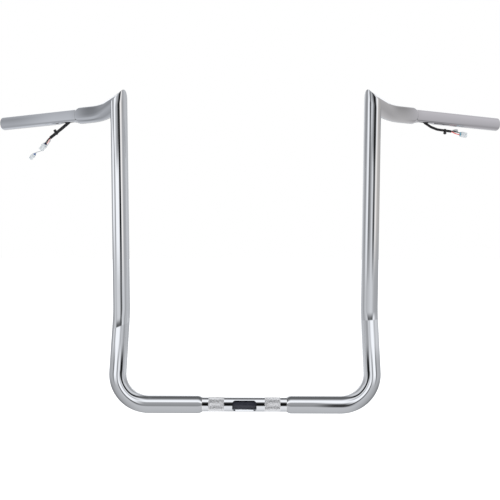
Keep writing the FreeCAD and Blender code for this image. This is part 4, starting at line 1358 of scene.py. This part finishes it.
class DomeShader(Nodes):
    """Colour of the dome by where a reflected ray left the tube and which way it went."""

    def __init__(self, tree):
        super().__init__(tree)
        calc = self.calc
        geometry = self.node("ShaderNodeNewGeometry").outputs
        self.path = self.node("ShaderNodeLightPath").outputs
        origin = self.node("ShaderNodeVectorMath", {
            0: geometry["Incoming"], 1: self.path["Ray Length"], 2: geometry["Position"],
        }, operation="MULTIPLY_ADD").outputs[0]
        self.x, self.y, self.z = self.node("ShaderNodeSeparateXYZ", {0: origin}).outputs
        # Incoming leads back to the tube, so the ray went the opposite way
        to_tube = self.node("ShaderNodeSeparateXYZ", {0: geometry["Incoming"]}).outputs
        self.go_front = to_tube[1]
        self.go_right = calc("MULTIPLY", to_tube[0], -1.0)
        self.go_up = calc("MULTIPLY", to_tube[2], -1.0)
        self.horizon = self.heading(self.go_right, self.go_front)
        self.overhead = self.heading(self.go_up, self.go_front)
        self.elevation = calc("DEGREES", calc("ARCSINE", self.go_up))
        self.from_centre = calc("ABSOLUTE", self.x)
        self.is_right = calc("GREATER_THAN", self.x, 0.0)

    def heading(self, sine, cosine):
        return self.calc("DEGREES", self.calc("ARCTAN2", sine, cosine))

    def smooth(self, value, start, end):
        return self.span(value, start, end, interpolation_type="SMOOTHSTEP")

    def inverse(self, value):
        return self.calc("SUBTRACT", 1.0, value)

    def mix(self, factor, first, second):
        inputs = {0: factor, 6: first, 7: second}
        return self.node("ShaderNodeMix", inputs, data_type="RGBA").outputs[2]

    def cards(self, degrees, stops, tone=COOL):
        position = self.calc("MULTIPLY_ADD", degrees, 1 / 360.0, 0.5)
        colours = []
        for angle, level, *own in stops:
            balance = own[0] if own else tone
            colours.append((angle / 360.0 + 0.5, [linear(level) * part / tint for part, tint
                                                  in zip(balance, CHROME_TINT)]))
        return self.ramp(position, colours)

    def upright(self, top, mid, low):
        colour = self.mix(self.smooth(self.elevation, -2.6, 1.2),
                          self.cards(self.horizon, low), self.cards(self.horizon, mid))
        colour = self.mix(self.smooth(self.elevation, 4.2, 6.2),
                          colour, self.cards(self.horizon, top))
        return self.mix(self.smooth(self.z, 0.19, 0.24), self.cards(self.horizon, low), colour)

    def legs(self):
        """Left and right colours of the level run, the lower bend and the leg. Round the
        bend, "up" turns into "towards the middle of the bar"."""
        calc = self.calc
        past = calc("MAXIMUM", calc("SUBTRACT", self.from_centre, BEND_X), 0.0)
        bend = calc("ARCTAN2", past, calc("SUBTRACT", BEND_Z, self.z))
        self.bend = bend = calc("MINIMUM", bend, math.pi / 2)
        inward = calc("MULTIPLY", calc("MULTIPLY", self.go_right, calc("SIGN", self.x)), -1.0)
        lift = calc("ADD", calc("MULTIPLY", self.go_up, calc("COSINE", bend)),
                    calc("MULTIPLY", inward, calc("SINE", bend)))
        turn = self.heading(lift, self.go_front)
        tight = self.inverse(calc("MULTIPLY", self.smooth(bend, 0.0, 0.78), 0.36))
        wide = calc("DIVIDE", turn, tight)
        into_bend = self.smooth(bend, 0.08, 0.55)
        onto_leg = self.smooth(bend, 1.10, 1.50)
        high = self.smooth(self.z, 0.070, 0.112)
        colours = []
        for is_right, leg, sign in ((False, LEFT_LEG, 1.0), (True, RIGHT_LEG, -1.0)):
            level = self.cards(self.overhead, LEVEL)
            if is_right:
                level = self.mix(self.smooth(self.from_centre, 0.118, 0.165), level,
                                 self.cards(self.overhead, RIGHT_LEVEL))
            curve = self.mix(into_bend, level, self.cards(wide, LOW_BEND))
            standing = self.mix(high, self.cards(turn, LEG_FOOT),
                                self.cards(calc("MULTIPLY", turn, sign), leg))
            colours.append(self.mix(onto_leg, curve, standing))
        return colours

    def side(self, leg, steep, knee_x, height, slope, reach, patch, riser):
        """One riser above a sloping boundary at the knee, and its leg below."""
        boundary = self.calc("MULTIPLY_ADD", self.x, slope, height - slope * knee_x)
        above = self.calc("SUBTRACT", self.z, boundary)
        standing = self.mix(self.smooth(above, reach * 0.15, reach),
                            self.cards(self.horizon, patch), self.upright(*riser))
        above = self.calc("SUBTRACT", self.z, boundary)
        below = self.inverse(self.smooth(above, -0.0012, 0.0012))
        return self.mix(self.calc("MAXIMUM", below, steep), standing, leg)

    def frame(self):
        """Clamp tube in the middle, legs and risers on both sides."""
        left_leg, right_leg = self.legs()
        steep = self.calc("MULTIPLY", self.calc("GREATER_THAN", self.z, 0.30),
                          self.smooth(self.calc("ABSOLUTE", self.elevation), 27.0, 43.0))
        left = self.side(left_leg, steep, -KNEE_X, height=0.1345, slope=0.42, reach=0.017,
                         patch=LEFT_PATCH, riser=(LEFT_TOP, LEFT_MID, LEFT_LOW))
        right = self.side(right_leg, steep, KNEE_X, height=0.149, slope=0.06, reach=0.016,
                          patch=RIGHT_PATCH, riser=(RIGHT_TOP, RIGHT_MID, RIGHT_LOW))
        sides = self.mix(self.is_right, left, right)
        centre = self.cards(self.overhead, CLAMP)
        return self.mix(self.calc("LESS_THAN", self.from_centre, CLAMP_EDGE_X), sides, centre)

    def grips(self):
        """Elbows and grips, read by height in the plane each one faces."""
        calc = self.calc
        on_grip = self.smooth(self.from_centre, 0.300, 0.345)
        sideways = calc("MULTIPLY", self.go_right, calc("SIGN", self.x))
        facing = calc("ADD", calc("MULTIPLY", sideways, 0.60),
                      calc("MULTIPLY", self.go_front, 0.80))
        height = self.heading(self.go_up, facing)
        far = self.smooth(self.from_centre, 0.37, 0.47)
        bent = self.smooth(self.from_centre, 0.272, 0.294)

        def hand(elbow, elbow_tone, grip, grip_tone):
            elbow = self.mix(bent, *(self.cards(height, part, elbow_tone) for part in elbow))
            grip = self.mix(far, *(self.cards(height, part, grip_tone) for part in grip))
            return self.mix(on_grip, elbow, grip)

        left = hand((LEFT_ELBOW_IN, LEFT_ELBOW_OUT), SLATE,
                    (LEFT_GRIP_IN, LEFT_GRIP_OUT), SLATE)
        right = hand((RIGHT_ELBOW_IN, RIGHT_ELBOW_OUT), NEUTRAL,
                     (RIGHT_GRIP_IN, RIGHT_GRIP_OUT), LAVENDER)
        return self.mix(self.is_right, left, right)

    def colour(self):
        calc = self.calc
        frame_colour, grips = self.frame(), self.grips()
        normal = MITRE_NORMAL.tolist()
        distance = calc("ADD", calc("ADD", calc("MULTIPLY", self.from_centre, normal[0]),
                                    calc("MULTIPLY", self.y, normal[1])),
                        calc("MULTIPLY", self.z, normal[2]))
        beyond = calc("GREATER_THAN", distance, float(MITRE @ MITRE_NORMAL) * MM)
        colour = self.mix(beyond, frame_colour, grips)
        # cards behind the bar
        back = calc("MULTIPLY", self.go_front, -1.0)
        level = self.cards(self.heading(self.go_up, back), REAR_LEVEL)
        upright = self.cards(self.heading(self.go_right, back), REAR_STANDING)
        standing = calc("MULTIPLY", self.smooth(self.bend, 0.5, 1.1), self.inverse(beyond))
        standing = calc("MULTIPLY", standing,
                        calc("GREATER_THAN", self.from_centre, CLAMP_EDGE_X))
        colour = self.mix(self.smooth(back, 0.78, 0.86), colour,
                          self.mix(standing, level, upright))
        # the second bounce between two tubes is softened
        haze = self.node("ShaderNodeRGB").outputs[0]
        haze.default_value = (0.36, 0.37, 0.39, 1)
        twice = calc("GREATER_THAN", self.path["Ray Depth"], 1.5)
        return self.mix(calc("MULTIPLY", twice, 0.65), colour, haze)


def hide_from(ob, *rays):
    for ray in rays:
        setattr(ob, "visible_" + ray, False)


def build_dome():
    """Closed shell round the stage that stands for studio cards and that only reflections see."""
    segments, rows, radius, centre_z = 48, 24, 6.0, 0.25
    verts, faces = [], []
    for i in range(rows + 1):
        polar = math.pi * i / rows
        for k in range(segments):
            around = 2 * math.pi * k / segments
            verts.append((radius * math.sin(polar) * math.cos(around),
                          radius * math.sin(polar) * math.sin(around),
                          centre_z + radius * math.cos(polar)))
    for i in range(rows):
        here, below = i * segments, (i + 1) * segments
        for k in range(segments):
            beside = (k + 1) % segments
            faces.append((here + k, below + k, below + beside, here + beside))
    ob = mesh_object("reflection_dome", verts, faces)
    material = bpy.data.materials.new("reflection_dome")
    material.use_nodes = True
    material.node_tree.nodes.clear()
    shader = DomeShader(material.node_tree)
    glow = shader.node("ShaderNodeEmission", {0: shader.colour()})
    shader.node("ShaderNodeOutputMaterial", {0: glow.outputs[0]})
    material.cycles.emission_sampling = "NONE"
    ob.data.materials.append(material)
    hide_from(ob, "camera", "diffuse", "shadow", "transmission", "volume_scatter")


# ---------------------------------------------------------------- floor, lights and world
FLOOR_Z, FLOOR_HALF = -0.46, 30.0


def build_floor():
    corners = ((-1, -1), (1, -1), (1, 1), (-1, 1))
    ob = mesh_object("floor", [(x * FLOOR_HALF, y * FLOOR_HALF, FLOOR_Z) for x, y in corners],
                     [(0, 1, 2, 3)])
    material = bpy.data.materials.new("pale_floor")
    material.use_nodes = True
    nodes = Nodes(material.node_tree)
    noise = nodes.node("ShaderNodeTexNoise", {"Scale": 3.0}).outputs["Fac"]
    grey = nodes.span(noise, 0.0, 1.0, 0.90, 0.93)
    colour = nodes.node("ShaderNodeCombineColor", {0: grey, 1: grey, 2: grey}).outputs[0]
    shader = nodes.tree.nodes["Principled BSDF"]
    for name, value in (("Base Color", colour), ("Roughness", 0.9), ("Specular IOR Level", 0.0),
                        ("Emission Color", (1, 1, 1, 1)), ("Emission Strength", 0.75)):
        nodes.feed(shader.inputs[name], value)
    material.cycles.emission_sampling = "NONE"
    ob.data.materials.append(material)
    hide_from(ob, "glossy")


def soft_light(name, at, size, energy):
    """Rectangular light aimed at the middle of the bar."""
    data = bpy.data.lights.new(name, "AREA")
    data.shape = "RECTANGLE"
    data.size, data.size_y = size
    data.energy = energy
    data.color = (1, 1, 1)
    ob = add_object(name, data)
    aim = (Vector((0, 0.1, 0.35)) - Vector(at)).normalized()
    turn = aim.to_track_quat("-Z", "Y").to_matrix().to_4x4()
    ob.matrix_world = Matrix.Translation(Vector(at)) @ turn
    hide_from(ob, "glossy", "camera")


def build_world():
    """White to the camera, and a softer pale light to everything else."""
    world = bpy.data.worlds.new("studio")
    scene.world = world
    world.use_nodes = True
    nodes = Nodes(world.node_tree)
    nodes.tree.nodes.clear()
    is_camera = nodes.node("ShaderNodeLightPath").outputs["Is Camera Ray"]
    seen = nodes.node("ShaderNodeBackground", {0: (1, 1, 1, 1), 1: 1.0})
    soft = nodes.node("ShaderNodeBackground", {0: (0.95, 0.97, 1.0, 1), 1: 0.62})
    mixed = nodes.node("ShaderNodeMixShader",
                       {0: is_camera, 1: soft.outputs[0], 2: seen.outputs[0]})
    nodes.node("ShaderNodeOutputWorld", {0: mixed.outputs[0]})


build_dome()
build_floor()
soft_light("key_softbox", at=(-1.6, -2.2, 2.1), size=(1.6, 1.2), energy=46)
soft_light("fill_softbox", at=(1.9, -1.9, 1.1), size=(1.4, 1.4), energy=22)
build_world()
